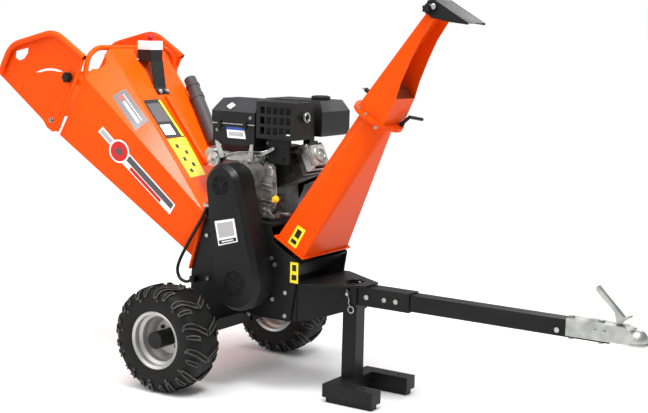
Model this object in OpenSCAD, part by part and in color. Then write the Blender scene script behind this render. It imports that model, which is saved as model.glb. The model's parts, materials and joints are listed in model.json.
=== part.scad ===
// Towable petrol wood chipper: two-wheel chassis, drum rotor, folding feed tray,
// swivelling discharge spout, belt-driven by a single-cylinder engine.
// Millimetres. +X runs to the tow hitch, +Y to the machine's left, +Z up, ground at z = 0.
// The origin is on the ground under the middle of the machine's length; inside
// from_axle() x is counted from the axle instead.

/* [Wheels] */
// tyre outside diameter over the lugs
tyre_od = 406; // [340:1:490]
// tyre width
tyre_w = 160; // [130:1:190]
// distance between the two tyre centre planes
track = 756; // [720:1:900]
// rim bead seat diameter
rim_d = 203; // [170:1:240]
// hub tube outside diameter
hub_d = 65; // [54:1:78]
// axle spindle diameter
spindle_d = 30; // [24:1:36]
// axle beam square side
beam_w = 50; // [40:1:60]

/* [Rotor housing] */
// width over the two side plates
house_w = 340; // [290:1:400]
// side plate thickness
side_t = 8; // [5:0.5:12]
// rotor centre ahead of the axle
rotor_x = 234; // [225:1:245]
// rotor centre height
rotor_z = 422; // [412:1:432]
// cutting circle diameter over the knives
rotor_d = 244; // [200:1:256]
// rotor shaft diameter
shaft_d = 40; // [30:1:48]
// engine deck top height
deck_z = 643; // [640:1:648]

/* [Belt drive] */
// crankshaft centre ahead of the axle
crank_x = 163; // [155:1:171]
// crankshaft centre height
crank_z = 784; // [780:1:792]
// drive pulley diameter
drive_d = 96; // [80:1:120]
// rotor pulley diameter
driven_d = 150; // [120:1:176]
// guard radius at the top
guard_r_top = 80; // [74:1:96]
// guard radius at the bottom
guard_r_low = 106; // [98:1:120]
// guard depth from the side plate
guard_depth = 105; // [95:1:130]

/* [Engine] */
// lean of the cylinder above the horizontal
cyl_lean = 24; // [15:1:32]
// fin block side
fin_w = 124; // [100:1:140]
// fuel tank top height
tank_top = 1098; // [1080:1:1130]

/* [Feed hopper] */
// width of the mouth over its side panels
mouth_w = 570; // [470:1:690]
// sheet thickness of hopper, tray and chute
sheet = 3; // [2:0.5:5]
// rim tube diameter of the feed tray
tray_tube_d = 24; // [18:1:30]
// rim tube diameter of the hopper mouth
hoop_d = 20; // [16:1:26]

/* [Discharge chute] */
// angle of the chute above the horizontal
chute_tilt = 61; // [56:1:66]
// chute length from its flange to the swivel
chute_len = 570; // [480:1:680]
// outside diameter of the round part of the chute
duct_d = 126; // [110:1:140]
// swivel ring diameter
ring_d = 198; // [190:1:230]
// half width of the spout at its top
spout_half = 62; // [54:1:70]

/* [Drawbar] */
// tow bar square side
bar_w = 60; // [50:1:64]
// height of the tow bar's centre
bar_z = 391; // [380:1:400]
// front end of the tow bar ahead of the axle
bar_end = 1600; // [1500:1:1800]
// tow ball diameter
ball_d = 50; // [50:0.1:51]

/* [Stand] */
// stand leg square side
post_w = 60; // [50:1:64]
// width over the stand foot's two arms
foot_w = 317; // [260:1:380]
// length of the foot's arms
foot_l = 215; // [180:1:260]

/* [Controls] */
// diameter of the star knobs
knob_d = 44; // [34:1:52]
// side of the emergency stop box
stop_w = 72; // [58:1:84]
// diameter of the emergency stop button
button_d = 38; // [30:1:46]

// a node's name, or all of them

/* [Hidden] */

orange = [0.95, 0.32, 0.06];
black = [0.08, 0.08, 0.09];
zinc = [0.78, 0.79, 0.80];
cast = [0.66, 0.67, 0.68];
rubber = [0.05, 0.05, 0.05];
eps = 0.01;
run = 0.05;                              // radial clearance of a running fit
gap = 0.3;                               // clearance between faces that slide past each other

tyre_r = tyre_od / 2;
rim_r = rim_d / 2;
half = house_w / 2;
inner = half - side_t;
rotor_r = rotor_d / 2;
shaft_r = shaft_d / 2;
casing_r = rotor_r + 8;

// feed hopper: mouth corners, throat corners, and the line where it meets the housing
mouth_y = mouth_w / 2;
m_low = [-646, 919];
m_mid = [-507, 1155];
m_top = [-490, 1268];
m_top_y = 161;
t_low = [-46.5, 475];
t_mid = [8, 650];
t_top_y = 131;
join_slope = (t_mid[0] - t_low[0]) / (t_mid[1] - t_low[1]);
function join_x(z) = t_mid[0] + (z - t_mid[1]) * join_slope;
join_tilt = atan(join_slope);

// folding tray, turning about its pivot
tray_pivot = [-687, 976];
tray_y = mouth_y + 1;
tray_slot_r = 203;
tray_slot_a = 60;
tray_fold = 84;
tray_corner = [-972, 1141];
tray_rim = [tray_corner, [-901, 1270], [-656, 1331], [-495, 1232]];

// chute frame: local z along the duct, local x forward and down
chute_o = [399, 0, 561];
flange_l = 150;
flange_w = house_w - 8;
duct_r = duct_d / 2;
ring_z = chute_len;
ring_t = 6;
spout_z = ring_z + ring_t + gap;

// spout flap pivot and clamp stud, in the chute frame
flap_p = [23, 1035];
flap_stud = [9, 1018];
flap_stud_r = norm(flap_stud - flap_p);
flap_stud_a = atan2(flap_stud[1] - flap_p[1], flap_stud[0] - flap_p[0]);

// drawbar and coupler
recv_w = bar_w + 10.6;
coup_x = 1448 + bar_end - 1600;
nose_r = 36;
ball_x = coup_x + 238;
ball_z = bar_z - 9;
latch_p = [coup_x + 176, bar_z + 44];

// stand
post_x = 591;
sleeve_w = post_w + 10.6;
foot_t = 50;
pad_t = 21;
pin_z = bar_z + 4;

// length extremes, and the shift that puts the origin under the middle of the length
x_min = tray_corner[0] - tray_tube_d / 2;
x_max = ball_x + nose_r + 4;
mid_x = (x_min + x_max) / 2;

module from_axle() translate([-mid_x, 0, 0]) children();

// ---- helpers ----------------------------------------------------------------------------

// a cylinder along Y from y0 to y1, centred on x, z
module along_y(x, z, y0, y1, d, n = 48)
    translate([x, y0, z]) rotate([-90, 0, 0]) cylinder(h = y1 - y0, d = d, $fn = n);

// a cylinder along Z
module along_z(x, y, z0, z1, d, n = 32) translate([x, y, z0]) cylinder(h = z1 - z0, d = d, $fn = n);

// a profile in X and Z, made solid between y0 and y1
module slab(y0, y1)
    translate([0, y1, 0]) rotate([90, 0, 0]) linear_extrude(height = y1 - y0) children();

// both sides of the machine
module both_sides() {
    children();
    mirror([0, 1, 0]) children();
}

// a flat strip of thickness t from a to b
module strip(a, b, t)
    translate(a) rotate(atan2(b[1] - a[1], b[0] - a[0])) translate([0, -t / 2])
        square([norm(b - a), t]);

// a flat strip through several points
module strips(p, t) for (i = [0 : len(p) - 2]) strip(p[i], p[i + 1], t);

// a round bar from a to b, with a ball at each end
module bar(a, b, d, n = 24) {
    v = b - a;
    translate(a) rotate([0, acos(v[2] / norm(v)), atan2(v[1], v[0])])
        cylinder(h = norm(v), d = d, $fn = n);
}
// the same through several points with its bends rounded, as one skin
module bent_bar(p, d) for (i = [0 : len(p) - 2]) hull() {
    translate(p[i]) sphere(d = d, $fn = 20);
    translate(p[i + 1]) sphere(d = d, $fn = 20);
}
// a hexagon head bolt along Y at x, z, its head face towards -Y
module bolt_y(x, z, y0, y1, d, head, t) {
    along_y(x, z, y0, y1, d, 24);
    translate([x, y0, z]) rotate([90, 0, 0]) cylinder(h = t, d = head, $fn = 6);
}

// a star knob, its stud along -Z from the origin
module star_knob(d, h) {
    cylinder(h = h, d = d * 0.72, $fn = 36);
    for (i = [0 : 5]) rotate(60 * i) translate([d * 0.36, 0, h * 0.3])
        cylinder(h = h * 0.55, d = d * 0.28, $fn = 24);
}

// the chute's own frame
module chute_frame() translate(chute_o) rotate([0, 90 - chute_tilt, 0]) children();

// ---- wheels ------------------------------------------------------------------------------

module at_wheel(side) from_axle() translate([0, side * track / 2, tyre_r])
    rotate([-90 * side, 0, 0]) children();

module tyre(side) {
    w = tyre_w / 2;
    color(rubber) at_wheel(side) rotate_extrude($fn = 96) polygon([
        [rim_r, w - 28], [rim_r, w - 12], [rim_r + 12, w - 6], [rim_r + 34, w], [tyre_r - 45, w],
        [tyre_r - 18, w - 4], [tyre_r - 6, w - 12], [tyre_r, w - 24],
        [tyre_r, 24 - w], [tyre_r - 6, 12 - w], [tyre_r - 18, 4 - w], [tyre_r - 45, -w],
        [rim_r + 34, -w], [rim_r + 12, 6 - w], [rim_r, 12 - w], [rim_r, 28 - w],
        [rim_r + 10, 26 - w], [rim_r + 34, 10 - w], [tyre_r - 45, 10 - w],
        [tyre_r - 24, 16 - w], [tyre_r - 16, 30 - w], [tyre_r - 16, w - 30],
        [tyre_r - 24, w - 16], [tyre_r - 45, w - 10], [rim_r + 34, w - 10], [rim_r + 10, w - 26]]);
}
module tyre_right() tyre(-1);
module tyre_left() tyre(1);

module rim(side) {
    w = tyre_w / 2;
    s = 4;
    color(zinc) at_wheel(side) difference() {
        rotate_extrude($fn = 96) polygon([
            [rim_r + 9, w - 7.4], [rim_r, w - 11.9], [rim_r, w - 30], [rim_r - 12, w - 38],
            [rim_r - 12, 38 - w], [rim_r, 30 - w], [rim_r, 11.9 - w], [rim_r + 9, 7.4 - w],
            [rim_r + 6, 4.5 - w], [rim_r - s, 10 - w], [rim_r - s, 32 - w],
            [rim_r - 12 - s, 40 - w], [rim_r - 12 - s, -16], [rim_r - 34, -22],
            [hub_d / 2 + eps, -22], [hub_d / 2 + eps, -16], [rim_r - 36, -16],
            [rim_r - 22 - s, 0], [rim_r - 12 - s, 14], [rim_r - 12 - s, w - 40],
            [rim_r - s, w - 32], [rim_r - s, w - 10], [rim_r + 6, w - 4.5]]);
        for (i = [0 : 3]) rotate(90 * i + 45) translate([hub_d / 2 + 14, 0, -30])
            cylinder(h = 20, d = 10, $fn = 24);
    }
}
module rim_right() rim(-1);
module rim_left() rim(1);

module hub(side) {
    color(black) at_wheel(side) {
        difference() {
            union() {
                translate([0, 0, -60]) cylinder(h = 132, d = hub_d, $fn = 64);
                translate([0, 0, -30]) cylinder(h = 8, d = hub_d + 46, $fn = 64);
            }
            translate([0, 0, -61]) cylinder(h = 110, d = spindle_d + 2 * run, $fn = 48);
            translate([0, 0, 45]) cylinder(h = 23, d = hub_d - 13, $fn = 48);
        }
        for (i = [0 : 3]) rotate(90 * i + 45) translate([hub_d / 2 + 14, 0, -22])
            cylinder(h = 16, d = 9.6, $fn = 24);
        for (i = [0 : 3]) rotate(90 * i + 45) translate([hub_d / 2 + 14, 0, -16])
            cylinder(h = 7, d = 16, $fn = 6);
    }
}
module hub_right() hub(-1);
module hub_left() hub(1);

module axle_beam() color(black) from_axle() translate([0, 0, tyre_r]) {
    reach = track / 2 - 61;
    translate([-beam_w / 2, -reach + 20, -beam_w / 2]) cube([beam_w, 2 * reach - 40, beam_w]);
    both_sides() {
        along_y(0, 0, reach - 21, reach - 0.5, 44);
        along_y(0, 0, reach - 1, reach + 119, spindle_d);
        along_y(0, 0, reach + 107, reach + 119, 42, 6);
    }
}

// ---- rotor housing -----------------------------------------------------------------------

module side_profile() {
    foot_z = tyre_r + beam_w / 2;
    polygon([[join_x(deck_z - 8) + 9, deck_z - 8], [join_x(420) + 9, 420], [-60, foot_z],
        [62, foot_z], [84, 247], [189, 286], [415, 284], [451, 512], [334, 577],
        [322, deck_z - 8]]);
}
module side_plate(side) color(black) from_axle() difference() {
    mirror([0, side > 0 ? 1 : 0, 0]) slab(-half, -inner) side_profile();
    along_y(rotor_x, rotor_z, -half - 1, half + 1, 66);
}
module side_plate_right() side_plate(-1);
module side_plate_left() side_plate(1);

module rotor_casing() color(black) from_axle() slab(-inner, inner) {
    translate([rotor_x, rotor_z]) difference() {
        circle(r = casing_r + 4, $fn = 96);
        circle(r = casing_r, $fn = 96);
        polygon([[0, 0], [300, 0], [300, 300], [-300, 300], [-300, 300 * tan(39)]
            , [-300, -300 * tan(41)]]);
    }
    strips([[-35, 468], [rotor_x - 96, rotor_z - 85]], 5);
    strips([[rotor_x + casing_r + 2, rotor_z - 1], [rotor_x + casing_r + 2, rotor_z + 14],
        [449, 508]], 4);
    strips([[14, 631], [150, 566], [234, 562], [331, 577]], 4);
}

module anvil_knife() color(zinc) from_axle() slab(-inner + 6, inner - 6)
    translate([rotor_x - 96, rotor_z - 80]) rotate(-36.5) translate([-73, 0]) square([42, 12]);

module rotor_bearings() color(cast) from_axle() both_sides() difference() {
    union() {
        along_y(rotor_x, rotor_z, half, half + 26, 96);
        slab(half, half + 12) translate([rotor_x, rotor_z])
            square([116, 116], center = true);
    }
    along_y(rotor_x, rotor_z, half - 1, half + 40, shaft_d + 2 * run);
}

// bolt heads on both side plates
module housing_bolts() both_sides()
    for (p = [[24, 569], [30, 400], [228, 290], [329, 516], [345, 493], [338, 361],
        [396, 393], [396, 305]])
        translate([p[0], -half, p[1]]) rotate([90, 0, 0]) cylinder(h = 7, d = 17, $fn = 6);

module engine_deck() color(black) from_axle() difference() {
    translate([15, -half, deck_z - 8]) cube([320, house_w, 8]);
    for (x = [75, 255], y = [-95, 95]) along_z(x, y, deck_z - 9, deck_z + 1, 11);
}

module rotor_drum() color(cast) from_axle() {
    difference() {
        along_y(rotor_x, rotor_z, -inner + 6, inner - 6, rotor_d - 24, 96);
        for (a = [0, 180]) translate([rotor_x, 0, rotor_z]) rotate([0, a, 0])
            translate([rotor_r - 40, -inner, -15]) cube([40, 2 * inner, 16]);
        // lightening holes right through
        for (a = [45, 90, 135, 225, 270, 315])
            along_y(rotor_x + 66 * cos(a), rotor_z + 66 * sin(a), -inner, inner, 50, 32);
    }
    along_y(rotor_x, rotor_z, -half - 88, half + 32, shaft_d);
}
module rotor_knives() color(zinc) from_axle()
    for (a = [0, 180]) translate([rotor_x, 0, rotor_z]) rotate([0, a, 0]) {
        translate([rotor_r - 38, -inner + 10, -14]) cube([37, 2 * inner - 20, 12]);
        for (y = [-100, 0, 100]) translate([rotor_r - 24, y, -2.1])
            cylinder(h = 2.9, d = 18, $fn = 6);
    }

// ---- belt drive --------------------------------------------------------------------------

belt_y0 = half + 42;
belt_y1 = half + 74;
module pulley(x, z, d, bore) difference() {
    union() {
        along_y(x, z, -belt_y1 - 4, -belt_y0 + 4, d - 14, 64);
        for (y = [-belt_y1 - 4, -belt_y0]) along_y(x, z, y, y + 4, d, 64);
        along_y(x, z, -belt_y1 - 8, -belt_y0 + 8, d * 0.5, 48);
    }
    if (bore > 0) along_y(x, z, -belt_y1 - 9, -belt_y0 + 9, bore);
}
module rotor_pulley() color(cast) from_axle() pulley(rotor_x, rotor_z, driven_d, shaft_d);
module crank_pulley() color(cast) from_axle() {
    pulley(crank_x, crank_z, drive_d, 0);
    along_y(crank_x, crank_z, -belt_y0 + 4, -96, 25.4);
}

// a tapered loop between the two shafts, r1 at the top and r2 at the bottom
module loop(r1, r2) hull() {
    translate([crank_x, crank_z]) circle(r = r1, $fn = 72);
    translate([rotor_x, rotor_z]) circle(r = r2, $fn = 72);
}
module drive_belts() color(rubber) from_axle() for (y = [-belt_y1 + 1, -belt_y0 - 15])
    slab(y, y + 14) difference() {
        loop(drive_d / 2 - 7 + gap + 8, driven_d / 2 - 7 + gap + 8);
        loop(drive_d / 2 - 7 + gap, driven_d / 2 - 7 + gap);
    }

module belt_guard_back() color(black) from_axle() difference() {
    slab(-half - 4, -half) loop(guard_r_top - 4, guard_r_low - 4);
    along_y(crank_x, crank_z, -half - 5, -half + 1, 66);
    slab(-half - 5, -half + 1) translate([rotor_x, rotor_z]) square([118, 118], center = true);
}
// rings of slots that let air through the guard's face
module vent(x, z, radii) for (r = radii) difference() {
    along_y(x, z, -half - guard_depth - 1, -half - guard_depth + 4, 2 * r + 3.4, 36);
    along_y(x, z, -half - guard_depth - 2, -half - guard_depth + 5, 2 * r - 3.4, 36);
    for (a = [20, 80, 140]) translate([x, -half - guard_depth, z]) rotate([0, a, 0])
        cube([4 * r, 14, 5], center = true);
}
// the guard's outside, with a broad bevel round its face; t is the wall taken off
guard_bevel = 20;
module guard_block(t) hull() {
    slab(-half - guard_depth + guard_bevel, -half + t / 3)
        loop(guard_r_top - t, guard_r_low - t);
    slab(-half - guard_depth + t, -half - guard_depth + guard_bevel)
        loop(guard_r_top - guard_bevel * 0.8, guard_r_low - guard_bevel * 0.8);
}
module belt_guard() color(black) from_axle() difference() {
    guard_block(0);
    guard_block(3);
    vent(crank_x, crank_z, [9, 15.5, 22, 28.5, 35]);
    vent(rotor_x, rotor_z, [9, 16.5, 24, 31.5, 39, 46.5]);
}

// ---- chassis frame, stand and drawbar ----------------------------------------------------

frame_z0 = 286;
frame_z1 = 426.5;
sleeve_z0 = 332;
module chassis_frame() color(black) from_axle() {
    // two gusset plates closing in from the housing to the sleeve, notched for its pin
    difference() {
        both_sides() intersection() {
            linear_extrude(height = 600) strips([[405, inner - 4], [440, inner - 4],
                [560, sleeve_w / 2 + 3.3], [626, sleeve_w / 2 + 3.3]], 7);
            slab(-half, half) polygon([[395, frame_z0], [480, frame_z0 + 4], [600, sleeve_z0],
                [626, sleeve_z0 + 14], [626, frame_z1 + 1], [395, frame_z1 + 1]]);
        }
        translate([post_x - 7, -sleeve_w, pin_z]) cube([14, 2 * sleeve_w, 200]);
        along_y(post_x, pin_z, -sleeve_w, sleeve_w, 14);
    }
    // top plate
    translate([0, 0, frame_z1]) linear_extrude(height = 8) difference() {
        polygon([[430, -half + 8], [470, -half + 8], [640, -60], [668, -44], [668, 44],
            [640, 60], [470, half - 8], [430, half - 8]]);
        translate([post_x, 0]) square([post_w + 2 * gap, post_w + 2 * gap], center = true);
        translate([post_x, 0]) square([14, sleeve_w + 24], center = true);
        // room for the pin's end and its ring clip when the leg is raised
        translate([post_x - 8, -60]) square([42, 20]);
    }
    // sleeve for the stand leg, with the notches its pin drops into
    difference() {
        translate([post_x - sleeve_w / 2, -sleeve_w / 2, sleeve_z0])
            cube([sleeve_w, sleeve_w, frame_z1 - sleeve_z0]);
        translate([post_x - post_w / 2 - gap, -post_w / 2 - gap, sleeve_z0 - 1])
            cube([post_w + 2 * gap, post_w + 2 * gap, 200]);
        translate([post_x - 7, -sleeve_w, pin_z]) cube([14, 2 * sleeve_w, 200]);
        along_y(post_x, pin_z, -sleeve_w, sleeve_w, 14);
    }
    // saddles that clamp the axle
    both_sides() for (x = [-beam_w / 2 - 8, beam_w / 2])
        translate([x, inner - 40, tyre_r - beam_w / 2]) cube([8, 40, beam_w + 16]);
    both_sides() translate([-beam_w / 2 - 8, inner - 40, tyre_r + beam_w / 2])
        cube([beam_w + 16, 40, 16]);
}

foot_x0 = post_x - 31.4;
foot_z = pad_t + foot_t;
module stand_leg() color(black) from_axle() {
    difference() {
        translate([post_x - post_w / 2, -post_w / 2, foot_z]) cube([post_w, post_w, frame_z1 - foot_z + 2]);
        translate([post_x - post_w / 2 + 4, -post_w / 2 + 4, foot_z - 1])
            cube([post_w - 8, post_w - 8, frame_z1]);
        along_y(post_x, pin_z, -post_w, post_w, 12.1);
    }
    difference() {
        union() {
            translate([foot_x0, -foot_w / 2, pad_t]) cube([foot_t + 12, foot_w, foot_t]);
            for (s = [-1, 1]) translate([foot_x0, s > 0 ? foot_w / 2 - foot_t - 12 : -foot_w / 2, pad_t])
                cube([foot_l, foot_t + 12, foot_t]);
        }
        for (s = [-1, 1], x = [110, 160]) along_z(foot_x0 + x, s * (foot_w / 2 - 31), pad_t + 20, 90, 11);
    }
}
module stand_pads() color(black) from_axle() for (s = [-1, 1])
    translate([foot_x0 + 10, s > 0 ? foot_w / 2 - foot_t - 2 : -foot_w / 2 + 10, 0])
        cube([foot_l - 20, foot_t - 8, pad_t]);

module stand_pin() color(zinc) from_axle() {
    y = -sleeve_w / 2 - 14;
    along_y(post_x, pin_z, y - 6, sleeve_w / 2 + 12, 12);
    bent_bar([[post_x - 3, y, pin_z + 16], [post_x + 1, y, pin_z - 4], [post_x + 8, y, pin_z - 22],
        [post_x + 5, y, pin_z - 32], [post_x + 12, y, pin_z - 46]], 4);
    translate([post_x + 16, y, pin_z - 58]) rotate([90, 0, 0])
        rotate_extrude($fn = 36) translate([12, 0]) circle(d = 4, $fn = 12);
}

bolt_x = [668, 744, 793];
module drawbar_receiver() color(black) from_axle() difference() {
    translate([post_x + sleeve_w / 2, -recv_w / 2, bar_z - recv_w / 2])
        cube([845 - post_x - sleeve_w / 2, recv_w, recv_w]);
    translate([post_x, -bar_w / 2 - gap, bar_z - bar_w / 2 - gap])
        cube([300, bar_w + 2 * gap, bar_w + 2 * gap]);
    for (x = bolt_x) along_y(x, bar_z, -recv_w, recv_w, 12.4);
}
module tow_bar() color(black) from_axle() difference() {
    translate([post_x + sleeve_w / 2 + 6, -bar_w / 2, bar_z - bar_w / 2])
        cube([bar_end - post_x - sleeve_w / 2 - 6, bar_w, bar_w]);
    translate([post_x, -bar_w / 2 + 4, bar_z - bar_w / 2 + 4])
        cube([2000, bar_w - 8, bar_w - 8]);
    for (x = bolt_x) along_y(x, bar_z, -bar_w, bar_w, 12.4);
    for (x = [coup_x + 7, coup_x + 114]) along_z(x, 0, bar_z - bar_w, bar_z + bar_w, 12.4);
}
// cross bolts of the drawbar and upright bolts of the coupler, each with head and nut
module frame_bolts() color(zinc) from_axle() {
    housing_bolts();
    for (x = bolt_x) {
        along_y(x, bar_z, -recv_w / 2 - 0.5, recv_w / 2 + 12, 12, 24);
        along_y(x, bar_z, -recv_w / 2 - 8, -recv_w / 2, 20, 6);
        along_y(x, bar_z, recv_w / 2, recv_w / 2 + 9, 20, 6);
    }
    along_y(coup_x - 32, bar_z - 10, -bar_w / 2 - 4, -bar_w / 2, 18, 24);
    for (x = [coup_x + 7, coup_x + 114]) {
        along_z(x, 0, bar_z - bar_w / 2 - 12, bar_z + bar_w / 2 + 8, 12);
        along_z(x, 0, bar_z + bar_w / 2 + 4.2, bar_z + bar_w / 2 + 11, 20, 24);
        along_z(x, 0, bar_z - bar_w / 2 - 11, bar_z - bar_w / 2, 20, 6);
    }
}

module coupler_body() color(zinc) from_axle() difference() {
    union() {
        // pressed channel over the bar
        slab(-bar_w / 2 - 4.3, bar_w / 2 + 4.3) polygon([[coup_x, bar_z + 34.2],
            [coup_x + 200, bar_z + 34.2], [coup_x + 222, bar_z + 24], [coup_x + 245, bar_z - 4],
            [coup_x + 245, bar_z - 22], [coup_x, bar_z - 24]]);
        // ball housing
        translate([ball_x, 0, ball_z]) sphere(r = nose_r, $fn = 64);
        along_z(ball_x, 0, ball_z - 16, ball_z - 9, 2 * nose_r + 8, 64);
    }
    translate([coup_x - 1, -bar_w / 2 - gap, bar_z - 60])
        cube([199, bar_w + 2 * gap, 90 + gap]);
    along_z(ball_x, 0, ball_z - 60, ball_z, 2 * nose_r - 7, 64);
    translate([ball_x, 0, ball_z]) sphere(r = nose_r - 4, $fn = 64);
    translate([coup_x, -100, ball_z - 80]) cube([400, 200, 64]);
    for (x = [coup_x + 7, coup_x + 114]) along_z(x, 0, bar_z, bar_z + 60, 12.4);
    translate([latch_p[0] - 16, -9, bar_z + 20]) cube([30, 18, 30]);
}
module coupler_ball_seat() color(cast) from_axle() translate([ball_x, 0, ball_z]) difference() {
    sphere(r = nose_r - 4, $fn = 64);
    sphere(d = ball_d + 1.2, $fn = 64);
    translate([-60, -60, -100]) cube([120, 120, 90]);
    along_z(0, 0, -50, 0, ball_d + 2, 64);
}
module coupler_latch() color(zinc) from_axle() {
    translate([latch_p[0], 0, latch_p[1]]) {
        slab(-13, 13) polygon([[-6, -6], [6, -6], [14, 2], [40, 20], [36, 25], [16, 17],
            [-14, 46], [-44, 76], [-72, 104], [-80, 112], [-86, 106], [-84, 96], [-62, 72],
            [-38, 52], [-16, 30], [-12, 10]]);
        along_y(0, 0, -16, 16, 10);
    }
}

// ---- feed hopper, tray and what they carry ------------------------------------------------

// a closed skin between a mouth and a throat outline, each listed the same way round
function outline(mw, tw, k) = [
    [m_low[0], -mw, m_low[1] + k], [m_mid[0], -mw, m_mid[1] - k / 2],
    [m_top[0], -m_top_y + k / 2, m_top[1] - k], [m_top[0], m_top_y - k / 2, m_top[1] - k],
    [m_mid[0], mw, m_mid[1] - k / 2], [m_low[0], mw, m_low[1] + k],
    [t_low[0], -tw, t_low[1] + k], [t_mid[0], -tw, t_mid[1] - k],
    [t_mid[0] - 3, -t_top_y, t_mid[1] + 4 - k], [t_mid[0] - 3, t_top_y, t_mid[1] + 4 - k],
    [t_mid[0], tw, t_mid[1] - k], [t_low[0], tw, t_low[1] + k]];
skin_faces = [[5, 4, 3, 2, 1, 0], [6, 7, 8, 9, 10, 11], [1, 7, 6, 0], [2, 8, 7, 1], [3, 9, 8, 2],
    [4, 10, 9, 3], [5, 11, 10, 4], [0, 6, 11, 5]];
// the same points pushed a little past each end, to cut right through
function grow(p, f) = [for (i = [0 : 11]) i < 6 ? p[i] + f * (p[i] - p[i + 6])
    : p[i] + f * (p[i] - p[i - 6])];

module feed_hopper() color(orange) from_axle() {
    hopper_skin();
    // arms with the studs that the tray is clamped on
    both_sides() {
        slab(-mouth_y, -mouth_y + sheet) {
            strips([[-505, 1118], [stud_x, stud_z]], 26);
            translate([stud_x, stud_z]) circle(d = 26, $fn = 32);
        }
        along_y(stud_x, stud_z, -tray_y - sheet - 0.7, -mouth_y + 1, 7, 24);
    }
}
module hopper_skin() difference() {
    polyhedron(outline(mouth_y, half - 2, 0), skin_faces, convexity = 6);
    polyhedron(grow(outline(mouth_y - sheet, half - 2 - sheet, sheet), 0.02), skin_faces,
        convexity = 6);
    // grip cut-outs in the mouth's two upper corners
    for (s = [-1, 1]) translate([m_mid[0] - 8, s * 236, 1232]) rotate([0, 76, 0])
        cylinder(h = 120, d = 96, center = true, $fn = 48);
}

module hopper_hoop() color(orange) from_axle() {
    x = m_mid[0] - hoop_d / 2 - 0.5;
    y = mouth_y - sheet - hoop_d / 2 - 0.2;
    z = m_top[1] + 3;
    bent_bar([[x, -y, m_mid[1] - 20], [x, -y, m_mid[1] + 60], [x, 15 - y, z - 22],
        [x, 41 - y, z - 4], [x, 67 - y, z], [x, y - 67, z], [x, y - 41, z - 4],
        [x, y - 15, z - 22], [x, y, m_mid[1] + 60], [x, y, m_mid[1] - 20]], hoop_d);
}

// bolted frame where the hopper meets the housing
module hopper_flange() color(orange) from_axle() {
    h = t_mid[1] - t_low[1] + 60;
    translate([join_x(t_low[1] - 44), 0, t_low[1] - 44]) rotate([0, join_tilt, 0])
        difference() {
            translate([0, -half - 12, 0]) cube([8, house_w + 24, h / cos(join_tilt) - 4]);
            translate([-1, -half + 5, 45]) cube([10, house_w - 10, 178]);
            for (s = [-1, 1], z = [20, 120, 225])
                translate([-1, s * (half + 3), z]) rotate([0, 90, 0])
                    cylinder(h = 10, d = 9, $fn = 24);
        }
}

// arc slot of radius r and width w, from angle a0 to a1
module arc_slot(r, a0, a1, w) {
    intersection() {
        difference() {
            circle(r = r + w / 2, $fn = 96);
            circle(r = r - w / 2, $fn = 96);
        }
        polygon(concat([[0, 0]], [for (i = [0 : 6])
            2 * r * [cos(a0 + (a1 - a0) * i / 6), sin(a0 + (a1 - a0) * i / 6)]]));
    }
    for (a = [a0, a1]) rotate(a) translate([r, 0]) circle(d = w + 0.6, $fn = 24);
}
module feed_tray() color(orange) from_axle() {
    both_sides() slab(-tray_y - sheet, -tray_y) difference() {
        polygon([tray_corner, [-901, 1270], [-656, 1331], [-503, 1233], [-640, 950],
            [-655, 934], [-684, 929], [-712, 944], [-735, 973], [-945, 1122]]);
        // grip hole, pivot hole and clamp slot
        polygon([[-890, 1220], [-886, 1246], [-815, 1262], [-818, 1240], [-838, 1218], [-866, 1208]]);
        translate(tray_corner) circle(r = tray_tube_d / 2 + 0.2, $fn = 48);
        translate(tray_pivot) circle(d = 14.1, $fn = 32);
        translate(tray_pivot) arc_slot(tray_slot_r, tray_slot_a - 1, tray_slot_a + tray_fold + 1, 9);
    }
    slab(-tray_y - 1, tray_y + 1) strip([-738, 983], [-957.5, 1139], sheet);
}
module tray_tube() color(orange) from_axle() {
    y = tray_y + sheet + tray_tube_d / 2;
    bent_bar(concat([for (i = [3 : -1 : 0]) [tray_rim[i][0], -y, tray_rim[i][1]]],
        [for (i = [0 : 3]) [tray_rim[i][0], y, tray_rim[i][1]]]), tray_tube_d);
}

// the stud the tray is clamped on belongs to the hopper; the knob turns on it
stud_x = tray_pivot[0] + tray_slot_r * cos(tray_slot_a);
stud_z = tray_pivot[1] + tray_slot_r * sin(tray_slot_a);
module tray_knob(side) color(black) from_axle()
    translate([stud_x, side * (tray_y + sheet + 1), stud_z]) rotate([-90 * side, 0, 0])
        star_knob(knob_d, 26);
module tray_knob_right() tray_knob(-1);
module tray_knob_left() tray_knob(1);

// raised tube down the middle of the top panel
top_slope = atan2(m_top[1] - t_mid[1], t_mid[0] - m_top[0]);
function top_z(x) = m_top[1] - (x - m_top[0]) * tan(top_slope);
module cable_conduit() color(orange) from_axle()
    bar([-328, 0, top_z(-328) + 15], [-119, 0, top_z(-119) + 15], 18, 32);

stop_x = -417;
shelf_z = 1223;
module stop_bracket() color(black) from_axle() {
    translate([0, 0, 0]) slab(-36, 36) strips([[-342, top_z(-342) + 3.8],
        [-364, top_z(-364) + 3.8], [-381, shelf_z - 2], [stop_x - stop_w / 2 + 5, shelf_z - 2]], 4);
    both_sides() translate([-351, -28, top_z(-351) + 4]) rotate([0, top_slope, 0])
        cylinder(h = 6, d = 14, $fn = 6);
}
module stop_box() color(black) from_axle() difference() {
    translate([stop_x - stop_w / 2, -stop_w / 2, shelf_z]) cube([stop_w, stop_w, 78]);
    along_z(stop_x, 0, shelf_z + 38, shelf_z + 82, 22 + 2 * run, 48);
}
module stop_button() color([0.8, 0.05, 0.05]) from_axle() {
    along_z(stop_x, 0, shelf_z + 52, shelf_z + 90, 22, 48);
    along_z(stop_x, 0, shelf_z + 89, shelf_z + 104, button_d, 48);
}

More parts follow.
